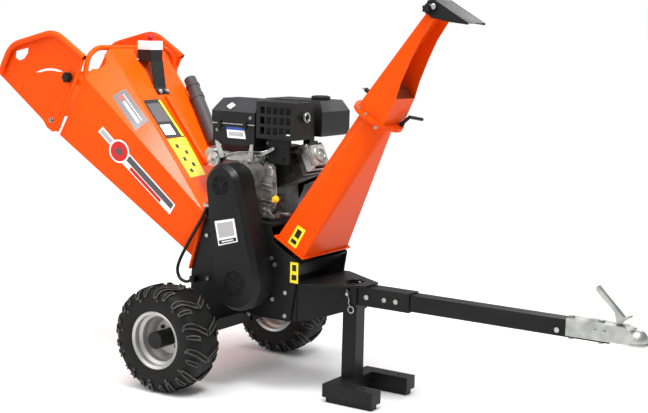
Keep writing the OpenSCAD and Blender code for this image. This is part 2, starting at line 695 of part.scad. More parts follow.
// document tube beside the top panel
man_a = [-154.6, 98.2, 901.3];
man_b = [-322.8, 165, 1109.9];
module manual_tube() color([0.25, 0.24, 0.25]) from_axle() {
    bar(man_a, man_b, 54, 48);
    bar(man_a + 0.78 * (man_b - man_a), man_a + 0.86 * (man_b - man_a), 60, 48);
    // posts that hold it to the hopper
    for (f = [0.25, 0.6]) bar(man_a + f * (man_b - man_a),
        man_a + f * (man_b - man_a) - 30 * [sin(top_slope), 0, cos(top_slope)], 9);
}
module manual_cap() color([0.2, 0.2, 0.2]) from_axle() {
    u = (man_b - man_a) / norm(man_b - man_a);
    bar(man_b + 0.3 * u, man_b + 46 * u, 52, 48);
    bar(man_b + 0.3 * u, man_b + 12 * u, 60, 48);
}

// cable from the engine down behind the guard and into the housing
module stop_cable() color(rubber) from_axle() {
    y = -half - 22;
    bent_bar([[40, y, 690], [20, y, 648], [-46, y, 545], [-86, y, 480], [-104, y, 430], [-97, y, 394],
        [-78, y, 382], [-52, y + 6, 384], [-40, -half - 9, 392], [-34, -half - 7, 398]], 13);
}

// ---- discharge chute and spout -------------------------------------------------------------

module duct_shape(t) hull() {
    translate([0, 0, -eps]) linear_extrude(height = eps)
        square([flange_l - 16 - 2 * t, flange_w - 24 - 2 * t], center = true);
    translate([0, 0, 300]) cylinder(h = ring_z - 300, r = duct_r - t, $fn = 64);
}
module chute() color(orange) from_axle() chute_frame() {
    difference() {
        union() {
            translate([-flange_l / 2, -flange_w / 2, 0]) cube([flange_l, flange_w, 6]);
            duct_shape(0);
            translate([0, 0, ring_z - 8]) cylinder(h = 8, d = ring_d, $fn = 72);
            for (a = [-60, 60, 180]) rotate(a) translate([duct_r - 2, -8, ring_z - 26])
                cube([24, 16, 20]);
        }
        translate([0, 0, -0.5]) duct_shape(sheet);
        translate([0, 0, ring_z - 300]) cylinder(h = 400, r = duct_r - sheet, $fn = 64);
        for (x = [-1, 1], y = [-1, 0, 1]) translate([x * (flange_l / 2 - 9), y * (flange_w / 2 - 10), -1])
            cylinder(h = 10, d = 9, $fn = 24);
    }
}

spout_back = [[-60, spout_z], [4, 986]];
spout_front = [[42, 988], [35, 909], [38, 837], [47, 748], [60, 681], [66, spout_z]];
function spout_y(z) = 74 + (spout_half - 74) * (z - spout_z) / (986 - spout_z);
module spout_block(t) intersection() {
    slab(-100, 100) polygon(t == 0 ? concat(spout_back, spout_front)
        : [[-60 + t, spout_z - 20], [4 + t, 990], [60, 1010], [90, 980], [90, 681 + eps],
           [60 - t, 681 + eps], [66 - t, spout_z - 20]]);
    rotate([90, 0, 90]) translate([0, 0, -100]) linear_extrude(height = 250) polygon([
        [-74 + t, spout_z - 20], [74 - t, spout_z - 20], [spout_y(1010) - t, 1010],
        [t - spout_y(1010), 1010]]);
}
module spout() color(orange) from_axle() chute_frame() {
    difference() {
        union() {
            spout_block(0);
            // swivel ring and the spigot that centres it
            translate([0, 0, ring_z + gap]) cylinder(h = ring_t, d = ring_d, $fn = 72);
            translate([0, 0, ring_z - 20]) cylinder(h = 24, r = duct_r - sheet - 0.08, $fn = 64);
        }
        spout_block(sheet);
        translate([0, 0, ring_z - 21]) cylinder(h = 30, r = duct_r - 2 * sheet - 1, $fn = 64);
    }
    // ears that carry the flap
    both_sides() difference() {
        slab(-spout_half, -spout_half + sheet) {
            polygon([[4, 975], [9, flap_p[1]], [flap_p[0] + 14, flap_p[1]], [42, 988], [40, 975]]);
            translate(flap_p) circle(r = 14, $fn = 36);
        }
        along_y(flap_p[0], flap_p[1], -spout_half - 1, -spout_half + 5, 10.1, 32);
    }
    // clamp studs, and a rod handle at the back with its bracket
    both_sides() along_y(flap_stud[0], flap_stud[1], -spout_half - 4.2, -spout_half + 1, 7, 24);
    bar([-52, 21, 612], [-118, 16, 618], 10, 24);
}
// lever that clamps the swivel
module chute_clamp() color(black) from_axle() chute_frame() {
    translate([80, 36, 0]) {
        along_z(0, 0, ring_z + ring_t + 2 * gap, ring_z + ring_t + 14, 18);
        bent_bar([[0, 0, ring_z + 18], [2, 24, ring_z + 44], [18, 96, ring_z + 40]], 13);
    }
}
flap_in = spout_half + 0.5;
module spout_flap() color(black) from_axle() chute_frame() {
    top = [[-10, 1040], [8, 1056], [24, 1055], [166, 1053], [168, 1047]];
    difference() {
        union() {
            both_sides() slab(-flap_in - 3, -flap_in) polygon(concat(top,
                [[100, 1018], [32, 996], [4, 1002], [-8, 1014]]));
            slab(-flap_in - 1, flap_in + 1) strips([[-9, 1040], [8, 1054], [24, 1053],
                [164, 1051]], 3);
        }
        both_sides() translate([flap_p[0], -flap_in + 1, flap_p[1]]) rotate([90, 0, 0])
            linear_extrude(height = 6)
            arc_slot(flap_stud_r, flap_stud_a - 30, flap_stud_a + 26, 8);
    }
    both_sides() {
        along_y(flap_p[0], flap_p[1], -flap_in - 9, -flap_in - 3 + eps, 17, 6);
        along_y(flap_p[0], flap_p[1], -flap_in - 3 + eps, -spout_half + 9, 10, 32);
    }
}
module flap_knob() color(black) from_axle() chute_frame()
    translate([flap_stud[0], -flap_in - 4, flap_stud[1]]) rotate([90, 0, 0])
        star_knob(knob_d * 0.8, 22);

// ---- engine ------------------------------------------------------------------------------

module at_crank() translate([crank_x, 0, crank_z]) children();
module at_cylinder() at_crank() rotate([0, -cyl_lean, 0]) children();
base_z = deck_z;

module crankcase() color(cast) from_axle() {
    difference() {
        union() {
            translate([45, -90, base_z]) cube([240, 190, 16]);
            translate([62, -82, base_z + 15]) cube([206, 172, 190]);
            along_y(crank_x, crank_z, -95, 95, 176, 64);
            along_y(crank_x, crank_z, -108, -94, 74, 48);
            at_cylinder() translate([40, -62, -62]) cube([56, 124, 124]);
            translate([215, -96, base_z + 40]) cube([70, 20, 90]);
        }
        along_y(crank_x, crank_z, -110, -60, 25.5);
        for (x = [75, 255], y = [-80, 90]) along_z(x, y, base_z - 1, base_z + 18, 10);
        at_cylinder() translate([96, -62.5, -62.5]) cube([200, 125, 125]);
    }
    // side cover screws
    for (a = [20 : 45 : 335]) at_crank() rotate([0, a, 0]) translate([79, -94, 0])
        rotate([90, 0, 0]) cylinder(h = 6, d = 11, $fn = 6);
    // base bolts
    for (x = [75, 255], y = [-80, 90]) along_z(x, y, base_z + 16, base_z + 23, 17, 6);
    // oil filler
    along_y(300, 728, -104, -70, 20);
    translate([280, -92, base_z + 66]) cube([26, 40, 34]);
}
module cylinder_fins() for (i = [0 : 11]) translate([98 + 10 * i, -fin_w / 2, -fin_w / 2])
    cube([4, fin_w, fin_w]);
module cylinder_block() color(cast) from_axle() at_cylinder() {
    translate([96, 0, 0]) rotate([0, 90, 0]) cylinder(h = 130, d = 96, $fn = 64);
    cylinder_fins();
    translate([218, -60, -58]) cube([20, 120, 116]);
}
module valve_cover() color(zinc) from_axle() at_cylinder() {
    translate([238, -54, -50]) cube([30, 108, 100]);
    translate([268, -44, -40]) cube([16, 88, 80]);
    for (y = [-46, 46], z = [-42, 42]) translate([268, y, z]) rotate([0, 90, 0])
        cylinder(h = 6, d = 12, $fn = 6);
}
module blower_housing() color(black) from_axle() {
    difference() {
        union() {
            along_y(crank_x, crank_z, 100, 205, 250, 72);
            along_y(crank_x, crank_z, 205, 232, 190, 64);
            at_cylinder() translate([60, 104, -70]) cube([130, 56, 150]);
        }
        along_y(crank_x, crank_z, 99, 200, 242, 72);
        at_cylinder() translate([100, 103, -66]) cube([86, 53, 142]);
        for (a = [0 : 30 : 330]) at_crank() rotate([0, a, 0]) translate([62, 226, 0])
            rotate([-90, 0, 0]) cylinder(h = 10, d = 18, $fn = 24);
    }
}
module recoil_handle() color(black) from_axle() {
    along_y(60, 858, 212, 246, 12, 24);
    translate([60, 246, 858]) rotate([0, 42, 0]) translate([-42, 0, -9]) cube([84, 16, 18]);
}
module fuel_tank() color(black) from_axle() {
    hull() {
        translate([130, 14, 964]) cube([286, 180, 40]);
        translate([120, 6, 985]) cube([304, 196, 72]);
        translate([150, 26, tank_top - 10]) cube([250, 156, 10]);
    }
    along_z(352, 104, tank_top - 1, tank_top + 8, 62, 48);
    translate([170, 40, 874]) cube([30, 56, 92]);
    translate([300, 66, 905]) cube([30, 34, 62]);
}
module air_cleaner() color(black) from_axle() {
    hull() {
        translate([22, -150, 1010]) cube([203, 150, 42]);
        translate([46, -112, 1088]) cube([172, 100, 10]);
    }
    translate([25, -147, 930]) cube([197, 144, 81]);
    hull() {
        translate([25, -147, 925]) cube([197, 144, 6]);
        translate([50, -120, 895]) cube([150, 110, 6]);
    }
    translate([60, -60, 872]) cube([90, 60, 30]);
}
module muffler() color(black) from_axle() {
    difference() {
        union() {
            translate([232, -150, 958]) cube([172, 136, 138]);
            translate([262, -112, 862]) cube([96, 14, 98]);
        }
        for (i = [0 : 4], j = [0 : 2]) translate([250 + 29 * i, -151, 975 + 38 * j])
            cube([20, 5, 26]);
        for (i = [0 : 4], j = [0 : 3]) translate([250 + 29 * i, -136 + 30 * j, 1092])
            cube([20, 18, 5]);
        difference() {
            translate([235, -147, 961]) cube([166, 134, 132]);
            // the silencer can inside its guard
            translate([258, -130, 978]) cube([150, 104, 96]);
        }
    }
    for (p = [[284, 900], [330, 884]]) bolt_y(p[0], p[1], -113, -99, 8, 15, 5);
    translate([402, -92, 1042]) rotate([0, 90, 0]) difference() {
        cylinder(h = 22, d = 34, $fn = 40);
        translate([0, 0, 2]) cylinder(h = 22, d = 28, $fn = 40);
    }
}
module starter_motor() color(zinc) from_axle() {
    along_y(12, 858, -120, 60, 56);
    along_y(12, 858, -128, -119, 30);
    along_y(-26, 880, -100, 20, 40);
    translate([10, 30, 840]) cube([51, 30, 40]);
}
// control plate with the governor arm and its rod
module control_plate() color(zinc) from_axle() {
    translate([66, -112, 862]) cube([176, 4, 30]);
    slab(-156, -151) polygon([[84, 874], [88, 884], [62, 932], [44, 938], [48, 918], [68, 872]]);
    slab(-128, -123) polygon([[232, 880], [302, 918], [298, 927], [228, 896]]);
    along_y(232, 888, -128, -109, 8, 24);
    along_y(208, 868, -158, -109, 10, 24);
    along_y(77, 878, -156, -109, 8, 24);
}
// lever the operator sets the engine speed with, turning on the plate's stud
lever_x = 208;
lever_z = 868;
module throttle_lever() color(zinc) from_axle() difference() {
    slab(-156, -151) polygon([[197, 857], [219, 857], [224, 868], [222, 932], [210, 932],
        [194, 868]]);
    along_y(lever_x, lever_z, -157, -150, 10.1, 24);
}

// ---- output ------------------------------------------------------------------------------

axle_beam();
tyre_right();
tyre_left();
rim_right();
rim_left();
hub_right();
hub_left();
side_plate_right();
side_plate_left();
rotor_casing();
anvil_knife();
rotor_bearings();
engine_deck();
rotor_drum();
rotor_knives();
rotor_pulley();
drive_belts();
crank_pulley();
belt_guard_back();
belt_guard();
chassis_frame();
stand_leg();
stand_pads();
stand_pin();
drawbar_receiver();
tow_bar();
frame_bolts();
coupler_body();
coupler_ball_seat();
coupler_latch();
feed_hopper();
hopper_hoop();
hopper_flange();
feed_tray();
tray_tube();
tray_knob_right();
tray_knob_left();
cable_conduit();
stop_bracket();
stop_box();
stop_button();
manual_tube();
manual_cap();
stop_cable();
chute();
chute_clamp();
spout();
spout_flap();
flap_knob();
crankcase();
cylinder_block();
valve_cover();
blower_housing();
recoil_handle();
fuel_tank();
air_cleaner();
muffler();
starter_motor();
control_plate();
throttle_lever();
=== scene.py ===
# %% [markdown]
# A towable wood chipper, modelled in Blender around its CAD frame.
# The frame gives every piece its place and its moving body, so nothing here has to be fitted by eye.
# It is loaded first. The finished model may not grow past it.

import bpy
import json
import math
from mathutils import Matrix, Vector

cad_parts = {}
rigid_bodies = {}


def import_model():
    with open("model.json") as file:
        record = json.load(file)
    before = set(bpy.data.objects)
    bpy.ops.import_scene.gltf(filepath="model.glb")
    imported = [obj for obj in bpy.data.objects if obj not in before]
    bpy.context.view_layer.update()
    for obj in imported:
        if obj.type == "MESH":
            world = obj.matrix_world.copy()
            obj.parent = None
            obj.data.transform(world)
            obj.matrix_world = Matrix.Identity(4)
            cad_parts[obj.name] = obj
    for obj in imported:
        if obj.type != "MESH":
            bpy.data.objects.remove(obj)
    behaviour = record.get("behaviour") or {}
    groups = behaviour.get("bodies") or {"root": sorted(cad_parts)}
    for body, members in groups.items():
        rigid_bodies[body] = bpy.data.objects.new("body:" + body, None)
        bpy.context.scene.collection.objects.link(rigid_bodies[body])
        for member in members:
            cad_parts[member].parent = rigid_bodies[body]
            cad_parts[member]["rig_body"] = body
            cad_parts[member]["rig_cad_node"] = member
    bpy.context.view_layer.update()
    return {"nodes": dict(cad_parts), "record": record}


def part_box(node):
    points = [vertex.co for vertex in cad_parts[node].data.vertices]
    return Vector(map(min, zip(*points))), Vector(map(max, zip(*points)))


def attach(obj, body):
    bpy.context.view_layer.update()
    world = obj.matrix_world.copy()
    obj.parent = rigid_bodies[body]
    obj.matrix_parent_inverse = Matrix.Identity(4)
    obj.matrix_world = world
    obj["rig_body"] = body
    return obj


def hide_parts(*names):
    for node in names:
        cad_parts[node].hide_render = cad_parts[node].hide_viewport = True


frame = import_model()
nodes = frame["nodes"]
print("nodes", len(nodes))

# %% [markdown]
# The camera comes first. It looks from the right front, a little above the drawbar, with a slight roll,
# as a person would stand to show a machine. A matrix from three directions places it exactly,
# which is surer than a chain of rotations.

# %% Camera
azimuth, elevation, roll = (math.radians(a) for a in (32.92, 8.13, 1.41))
distance = 4.8132
aim = Vector((0.0748, 0.0, 0.704))
back = Vector((math.sin(azimuth) * math.cos(elevation),
               -math.cos(azimuth) * math.cos(elevation), math.sin(elevation)))
side = Vector((math.cos(azimuth), math.sin(azimuth), 0.0))
up = back.cross(side)
across = math.cos(roll) * side + math.sin(roll) * up
upright = -math.sin(roll) * side + math.cos(roll) * up
bpy.ops.object.camera_add()
camera = bpy.context.object
camera.matrix_world = Matrix.Translation(aim + back * distance) @ Matrix(
    (across, upright, back)).transposed().to_4x4()
camera.data.lens = 70.81
camera.data.sensor_width = 36.0
bpy.context.scene.camera = camera
print("camera at", [round(v, 3) for v in camera.location])

# %% [markdown]
# Positions are easiest to read as the maker's drawing gives them: millimetres ahead of the axle, to the
# left and above the floor. One helper turns those into scene metres. A second sweeps a round section
# along a route, for every tube and hose.

# %% Places, smooth shading and a swept tube
axle_x = sum(corner.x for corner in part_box("axle_beam")) / 2


def at(x, y, z):
    """A point in metres, from millimetres ahead of the axle, to the left and above the floor."""
    return Vector((axle_x + x / 1000, y / 1000, z / 1000))


def only(obj):
    bpy.ops.object.select_all(action="DESELECT")
    obj.select_set(True)
    bpy.context.view_layer.objects.active = obj


def smooth(obj, angle=35.0):
    """Shades round parts smooth, and lets the large flat faces keep their own direction."""
    only(obj)
    bpy.ops.object.shade_smooth_by_angle(angle=math.radians(angle))
    even = obj.modifiers.new("even", "WEIGHTED_NORMAL")
    even.keep_sharp = True
    even.weight = 100
    bpy.ops.object.modifier_apply(modifier="even")


def tube(points, diameter, caps=True):
    bpy.ops.object.select_all(action="DESELECT")
    bpy.ops.curve.primitive_nurbs_path_add()
    obj = bpy.context.object
    obj.location = (0, 0, 0)
    curve = obj.data
    curve.splines.clear()
    spline = curve.splines.new("POLY")
    spline.points.add(len(points) - 1)
    for knot, place in zip(spline.points, points):
        knot.co = (*place, 1.0)
    curve.dimensions = "3D"
    curve.twist_mode = "MINIMUM"
    curve.bevel_depth = diameter / 2
    curve.bevel_resolution = 6
    curve.use_fill_caps = caps
    only(obj)
    bpy.ops.object.convert(target="MESH")
    obj = bpy.context.object
    bpy.ops.object.mode_set(mode="EDIT")
    bpy.ops.mesh.select_all(action="SELECT")
    bpy.ops.mesh.remove_doubles(threshold=0.00001)
    bpy.ops.mesh.normals_make_consistent(inside=False)
    bpy.ops.object.mode_set(mode="OBJECT")
    smooth(obj, 50)
    return obj


# %% [markdown]
# One hose leaves a clamp at the deck, hangs down behind the belt guard, turns under itself and goes
# into a gland on the housing. It is 13 mm across, of fairly stiff rubber, held at both ends. One smooth
# curve is laid through points that gravity and its stiffness allow.

# %% The hose beside the guard
def flowing(points, steps=3):
    """A smooth curve through every point, each stretch a cubic that its neighbours steer."""
    ends = [points[0] * 2 - points[1]] + points + [points[-1] * 2 - points[-2]]
    route = []
    for a, b, c, d in zip(ends, ends[1:], ends[2:], ends[3:]):
        for i in range(steps):
            t = i / steps
            route.append(0.5 * (2 * b + (c - a) * t + (2 * a - 5 * b + 4 * c - d) * t * t
                                + (3 * b - a - 3 * c + d) * t ** 3))
    return route + [points[-1]]


hose_y = -192
hose_route = flowing([at(*p) for p in (
    (40, hose_y, 690), (18, hose_y, 645), (-26, hose_y, 575), (-66, hose_y, 512),
    (-96, hose_y, 458),
    (-106, hose_y, 418), (-92, hose_y, 388), (-64, hose_y + 3, 378), (-38, hose_y + 8, 388))])
hose = tube(hose_route, 0.013)
hose.name = "hose_beside_guard"
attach(hose, "chassis")
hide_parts("stop_cable")

# %% [markdown]
# The floor is one wide pale sheet, and the sky behind it is white, so the machine stands in plain light
# with no horizon. A broad soft sun lights floor and machine evenly at any distance, which area lamps
# can't do. Two area lamps lay long highlights on the painted sheet from the front and from above, a
# spot lifts the hopper's upper faces, and a third area lamp keeps the back from going flat. The sky
# that the camera sees is white, but the sky that lights the machine is dimmer, so black stays black.

# %% Floor, lamps and sky
def plain_material(name, colour, rough):
    m = bpy.data.materials.new(name)
    m.use_nodes = True
    shader = m.node_tree.nodes["Principled BSDF"]
    shader.inputs["Base Color"].default_value = (*colour, 1.0)
    shader.inputs["Roughness"].default_value = rough
    shader.inputs["Specular IOR Level"].default_value = 0.1
    return m


bpy.ops.object.select_all(action="DESELECT")
bpy.ops.mesh.primitive_plane_add(size=400.0, location=(0, 0, 0))
floor = bpy.context.object
floor.name = "floor"
floor.data.materials.append(plain_material("pale_floor", (0.98, 0.98, 0.98), 0.9))

world = bpy.data.worlds.new("sky")
bpy.context.scene.world = world
world.use_nodes = True
tree, link = world.node_tree.nodes, world.node_tree.links.new
sky_light, sky_seen = tree["Background"], tree.new("ShaderNodeBackground")
sky_light.inputs["Color"].default_value = (0.97, 0.98, 1.0, 1.0)
sky_light.inputs["Strength"].default_value = 0.46
sky_seen.inputs["Color"].default_value = (1.0, 1.0, 1.0, 1.0)
sky_seen.inputs["Strength"].default_value = 1.0
ray, choose = tree.new("ShaderNodeLightPath"), tree.new("ShaderNodeMixShader")
link(ray.outputs["Is Camera Ray"], choose.inputs["Fac"])
link(sky_light.outputs[0], choose.inputs[1])
link(sky_seen.outputs[0], choose.inputs[2])
link(choose.outputs[0], tree["World Output"].inputs["Surface"])


def lamp(kind, name, place, aim_at, power, size=None, spread=None):
    bpy.ops.object.light_add(type=kind, location=place)
    light = bpy.context.object
    light.name = name
    light.data.energy = power
    if size:
        light.data.shape = "RECTANGLE"
        light.data.size, light.data.size_y = size
    if kind == "SUN":
        light.data.angle = math.radians(spread)
    elif kind == "SPOT":
        light.data.spot_size, light.data.spot_blend = math.radians(spread), 1.0
        light.data.shadow_soft_size = 0.35
    light.rotation_euler = (Vector(aim_at) - Vector(place)).to_track_quat("-Z", "Y").to_euler()


lamp("SUN", "soft_sun", (-0.2, -1.5, 3.4), (0, 0, 0), 2.15, spread=60)
lamp("AREA", "front_lamp", (-3.2, -3.4, 2.6), (0, 0, 0.7), 40, size=(3.0, 1.6))
lamp("AREA", "chamfer_lamp", (1.4, -0.6, 3.9), (-0.6, -0.1, 1.0), 50, size=(1.3, 1.3))
lamp("SPOT", "hopper_spot", (0.95, -0.7, 3.0), (-0.62, -0.15, 0.98), 430, spread=38)
lamp("AREA", "back_lamp", (0.4, 3.8, 3.0), (-0.4, 0, 0.9), 50, size=(2.4, 1.4))
bpy.context.scene.view_settings.view_transform = "Standard"

# %% [markdown]
# Every finish is grown from noise on Object coordinates, so it stays on the metal at any view.
# One helper lays the noise into three uses: a slow drift of tone, a change of gloss,
# and a fine relief. The finishes then differ only in their tones and scales.

# %% A helper for finishes
finishes = {}


def surface(name, tones, rough, drift=3.0, grain=400.0, relief=0.02, metal=0.0, coat=0.0,
            coat_rough=0.05, stretch=(1, 1, 1), spec=0.5, specks=0.0, speck_tone=None):
    """tones: two or more colours the drift passes through; rough: lowest and highest roughness."""
    m = bpy.data.materials.new(name)
    m.use_nodes = True
    tree, link = m.node_tree.nodes, m.node_tree.links.new
    shader = tree["Principled BSDF"]
    coords = tree.new("ShaderNodeTexCoord")
    place = tree.new("ShaderNodeMapping")
    place.inputs["Scale"].default_value = stretch
    link(coords.outputs["Object"], place.inputs["Vector"])
    slow = tree.new("ShaderNodeTexNoise")
    slow.inputs["Scale"].default_value = drift
    slow.inputs["Detail"].default_value = 6.0
    fine = tree.new("ShaderNodeTexNoise")
    fine.inputs["Scale"].default_value = grain
    fine.inputs["Detail"].default_value = 3.0
    for noise in (slow, fine):
        link(place.outputs["Vector"], noise.inputs["Vector"])
    ramp = tree.new("ShaderNodeValToRGB")
    while len(ramp.color_ramp.elements) < len(tones):
        ramp.color_ramp.elements.new(0.5)
    for i, tone in enumerate(tones):
        ramp.color_ramp.elements[i].position = 0.34 + 0.32 * i / (len(tones) - 1)
        ramp.color_ramp.elements[i].color = (*tone, 1.0)
    link(slow.outputs["Fac"], ramp.inputs["Fac"])
    colour = ramp.outputs["Color"]
    if specks:
        cells = tree.new("ShaderNodeTexVoronoi")
        cells.inputs["Scale"].default_value = grain * 0.35
        link(place.outputs["Vector"], cells.inputs["Vector"])
        mask = tree.new("ShaderNodeMapRange")
        mask.inputs["From Min"].default_value = 0.10
        mask.inputs["From Max"].default_value = 0.04
        mask.inputs["To Max"].default_value = specks
        link(cells.outputs["Distance"], mask.inputs["Value"])
        mix = tree.new("ShaderNodeMix")
        mix.data_type = "RGBA"
        link(mask.outputs["Result"], mix.inputs["Factor"])
        link(colour, mix.inputs["A"])
        mix.inputs["B"].default_value = (*speck_tone, 1.0)
        colour = mix.outputs["Result"]
    link(colour, shader.inputs["Base Color"])
    gloss = tree.new("ShaderNodeMapRange")
    gloss.inputs["From Min"].default_value = 0.3
    gloss.inputs["From Max"].default_value = 0.7
    gloss.inputs["To Min"].default_value, gloss.inputs["To Max"].default_value = rough
    link(slow.outputs["Fac"], gloss.inputs["Value"])
    link(gloss.outputs["Result"], shader.inputs["Roughness"])
    bump = tree.new("ShaderNodeBump")
    bump.inputs["Strength"].default_value = relief
    bump.inputs["Distance"].default_value = 0.001
    link(fine.outputs["Fac"], bump.inputs["Height"])
    link(bump.outputs["Normal"], shader.inputs["Normal"])
    shader.inputs["Metallic"].default_value = metal
    shader.inputs["Coat Weight"].default_value = coat
    shader.inputs["Coat Roughness"].default_value = coat_rough
    shader.inputs["Specular IOR Level"].default_value = spec
    finishes[name] = m
    return m


# %% The finishes
orange = surface("orange_powder_coat", [(0.76, 0.062, 0.0012), (0.80, 0.069, 0.0016),
                                        (0.84, 0.078, 0.002)],
                 (0.30, 0.42), drift=2.2, grain=520, relief=0.05, coat=0.07, coat_rough=0.14,
                 specks=0.2, speck_tone=(0.70, 0.085, 0.006), spec=0.06)
black = surface("black_powder_coat", [(0.0035, 0.0035, 0.004), (0.006, 0.006, 0.0065),
                                      (0.010, 0.010, 0.010)],
                (0.34, 0.52), drift=5.0, grain=900, relief=0.10, specks=0.5,
                speck_tone=(0.02, 0.02, 0.02), spec=0.22)
black_plastic = surface("black_moulded_plastic", [(0.0035, 0.0035, 0.004), (0.008, 0.008, 0.0085)],
                        (0.36, 0.52), drift=8.0, grain=1500, relief=0.22, spec=0.25)
satin_plastic = surface("satin_black_cover", [(0.010, 0.010, 0.011), (0.016, 0.016, 0.017)],
                        (0.24, 0.34), drift=6.0, grain=1800, relief=0.10, spec=0.55)
grey_plastic = surface("grey_moulded_plastic", [(0.030, 0.026, 0.028), (0.048, 0.042, 0.044)],
                       (0.42, 0.55), drift=9.0, grain=1200, relief=0.15, spec=0.3)
white_plastic = surface("white_moulded_plastic", [(0.72, 0.72, 0.70), (0.80, 0.80, 0.79)],
                        (0.35, 0.45), drift=9.0, grain=1200, relief=0.05)
red_plastic = surface("red_button_plastic", [(0.55, 0.008, 0.008), (0.66, 0.014, 0.010)],
                      (0.22, 0.32), drift=9.0, grain=900, relief=0.03, coat=0.3, spec=0.3)
yellow_plastic = surface("yellow_cap_plastic", [(0.80, 0.46, 0.01), (0.88, 0.54, 0.02)],
                         (0.30, 0.42), drift=12.0, grain=900, relief=0.08)
tyre_rubber = surface("tyre_rubber", [(0.0035, 0.0035, 0.0035), (0.0065, 0.0063, 0.006),
                                      (0.011, 0.0105, 0.010)],
                      (0.50, 0.75), drift=16.0, grain=700, relief=0.35, specks=0.35,
                      speck_tone=(0.022, 0.021, 0.019), spec=0.2)
hose_rubber = surface("hose_rubber", [(0.005, 0.005, 0.005), (0.010, 0.010, 0.010)],
                      (0.38, 0.55), drift=20.0, grain=1200, relief=0.15, spec=0.3)
rim_paint = surface("silver_rim_paint", [(0.36, 0.355, 0.34), (0.45, 0.445, 0.43),
                                         (0.52, 0.51, 0.50)],
                    (0.30, 0.45), drift=9.0, grain=1100, relief=0.08, metal=0.6,
                    specks=0.4, speck_tone=(0.28, 0.24, 0.20))
zinc = surface("zinc_plate", [(0.30, 0.30, 0.275), (0.42, 0.43, 0.405), (0.54, 0.54, 0.50)],
               (0.22, 0.44), drift=18.0, grain=600, relief=0.08, metal=0.92)
alloy = surface("cast_alloy", [(0.26, 0.25, 0.235), (0.46, 0.445, 0.42), (0.66, 0.645, 0.61)],
                (0.30, 0.52), drift=26.0, grain=420, relief=0.6, metal=0.85,
                specks=0.5, speck_tone=(0.14, 0.13, 0.12))
fin_iron = surface("dark_cylinder_fins", [(0.020, 0.020, 0.021), (0.045, 0.044, 0.043),
                                          (0.075, 0.073, 0.07)],
                   (0.30, 0.45), drift=30.0, grain=500, relief=0.3, metal=0.7)
# A lighter grey rubber tone that the tops of the lugs are given.
lug_top_grey = surface("lighter_lug_tops", [(0.030, 0.029, 0.027), (0.055, 0.053, 0.050),
                                         (0.085, 0.082, 0.077)],
                      (0.45, 0.62), drift=22.0, grain=900, relief=0.25, spec=0.35)
cast_iron = surface("cast_iron", [(0.05, 0.05, 0.05), (0.09, 0.09, 0.09)], (0.5, 0.7),
                    drift=12.0, grain=350, relief=0.5, metal=0.5)
knife_steel = surface("ground_steel", [(0.40, 0.41, 0.43), (0.52, 0.53, 0.55)], (0.22, 0.34),
                      drift=6.0, grain=300, relief=0.15, metal=1.0, stretch=(8, 0.4, 8))
print("finishes", len(finishes))

# %% Vinyl for the labels
hose.data.materials.append(hose_rubber)
vinyl = {}
for name, tone in (("white", (0.78, 0.78, 0.77)), ("grey", (0.075, 0.068, 0.072)),
                   ("black", (0.008, 0.008, 0.008)), ("red", (0.50, 0.012, 0.010)),
                   ("yellow", (0.84, 0.66, 0.02)), ("blue", (0.02, 0.06, 0.30)),
                   ("ash", (0.38, 0.37, 0.37))):
    vinyl[name] = surface(name + "_vinyl", [tone, tuple(v * 1.08 for v in tone)], (0.30, 0.42),
                          drift=14.0, grain=1400, relief=0.03, spec=0.3)

by_slot = {"orange_paint": orange, "black_paint": black, "tyre_rubber": tyre_rubber,
           "rubber": hose_rubber, "silver_rim": rim_paint, "zinc": zinc,
           "knife_steel": knife_steel, "cast": cast_iron, "alloy": alloy,
           "black_plastic": black_plastic, "grey_plastic": grey_plastic,
           "red_plastic": red_plastic}
slot_of = {s["node"]: s["material_slot"] for s in frame["record"]["subparts"]}
body_of = {n: b for b, members in frame["record"]["behaviour"]["bodies"].items()
           for n in members}
for name, obj in nodes.items():
    obj.data.materials.clear()
    obj.data.materials.append(fin_iron if name == "cylinder_block" else by_slot[slot_of[name]])

# %% [markdown]
# Real edges are never knife sharp: folded sheet, castings and moulded plastic all have a small round
# that catches light. The CAD nodes are loose triangles, so a merged copy is made, its flat faces are
# joined, and a bevel rounds what is left. The copy stands for the node.

# %% The helpers that every piece uses
def twin(obj):
    """A copy with a mesh of its own."""
    copy = obj.copy()
    copy.data = obj.data.copy()
    bpy.context.scene.collection.objects.link(copy)
    return copy


def join(pieces):
    bpy.ops.object.select_all(action="DESELECT")
    for piece in pieces:
        piece.select_set(True)
    bpy.context.view_layer.objects.active = pieces[0]
    bpy.ops.object.join()
    return pieces[0]


def thicken(move):
    """Pulls the sheet just made along a vector, and turns its faces outwards."""
    bpy.ops.object.mode_set(mode="EDIT")
    bpy.ops.mesh.select_all(action="SELECT")
    bpy.ops.mesh.extrude_region_move(TRANSFORM_OT_translate={"value": move})
    bpy.ops.mesh.select_all(action="SELECT")
    bpy.ops.mesh.normals_make_consistent(inside=False)
    bpy.ops.object.mode_set(mode="OBJECT")


def settle(obj, name, finish, body, stands_for=()):
    """Names a finished piece, puts its place into its mesh and hands it to its body."""
    only(obj)
    bpy.ops.object.transform_apply(location=True, rotation=True, scale=True)
    obj.name = name
    if finish:
        obj.data.materials.clear()
        obj.data.materials.append(finish)
    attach(obj, body)
    if stands_for:
        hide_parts(*stands_for)
    return obj


def loose_copy(node):
    """A merged copy of a CAD node, free of its parent."""
    copy = twin(nodes[node])
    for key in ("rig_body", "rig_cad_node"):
        if key in copy:
            del copy[key]
    copy.parent = None
    only(copy)
    bpy.ops.object.mode_set(mode="EDIT")
    bpy.ops.mesh.select_all(action="SELECT")
    bpy.ops.mesh.remove_doubles(threshold=0.00002)
    bpy.ops.mesh.dissolve_limited(angle_limit=math.radians(0.5))
    bpy.ops.object.mode_set(mode="OBJECT")
    return copy


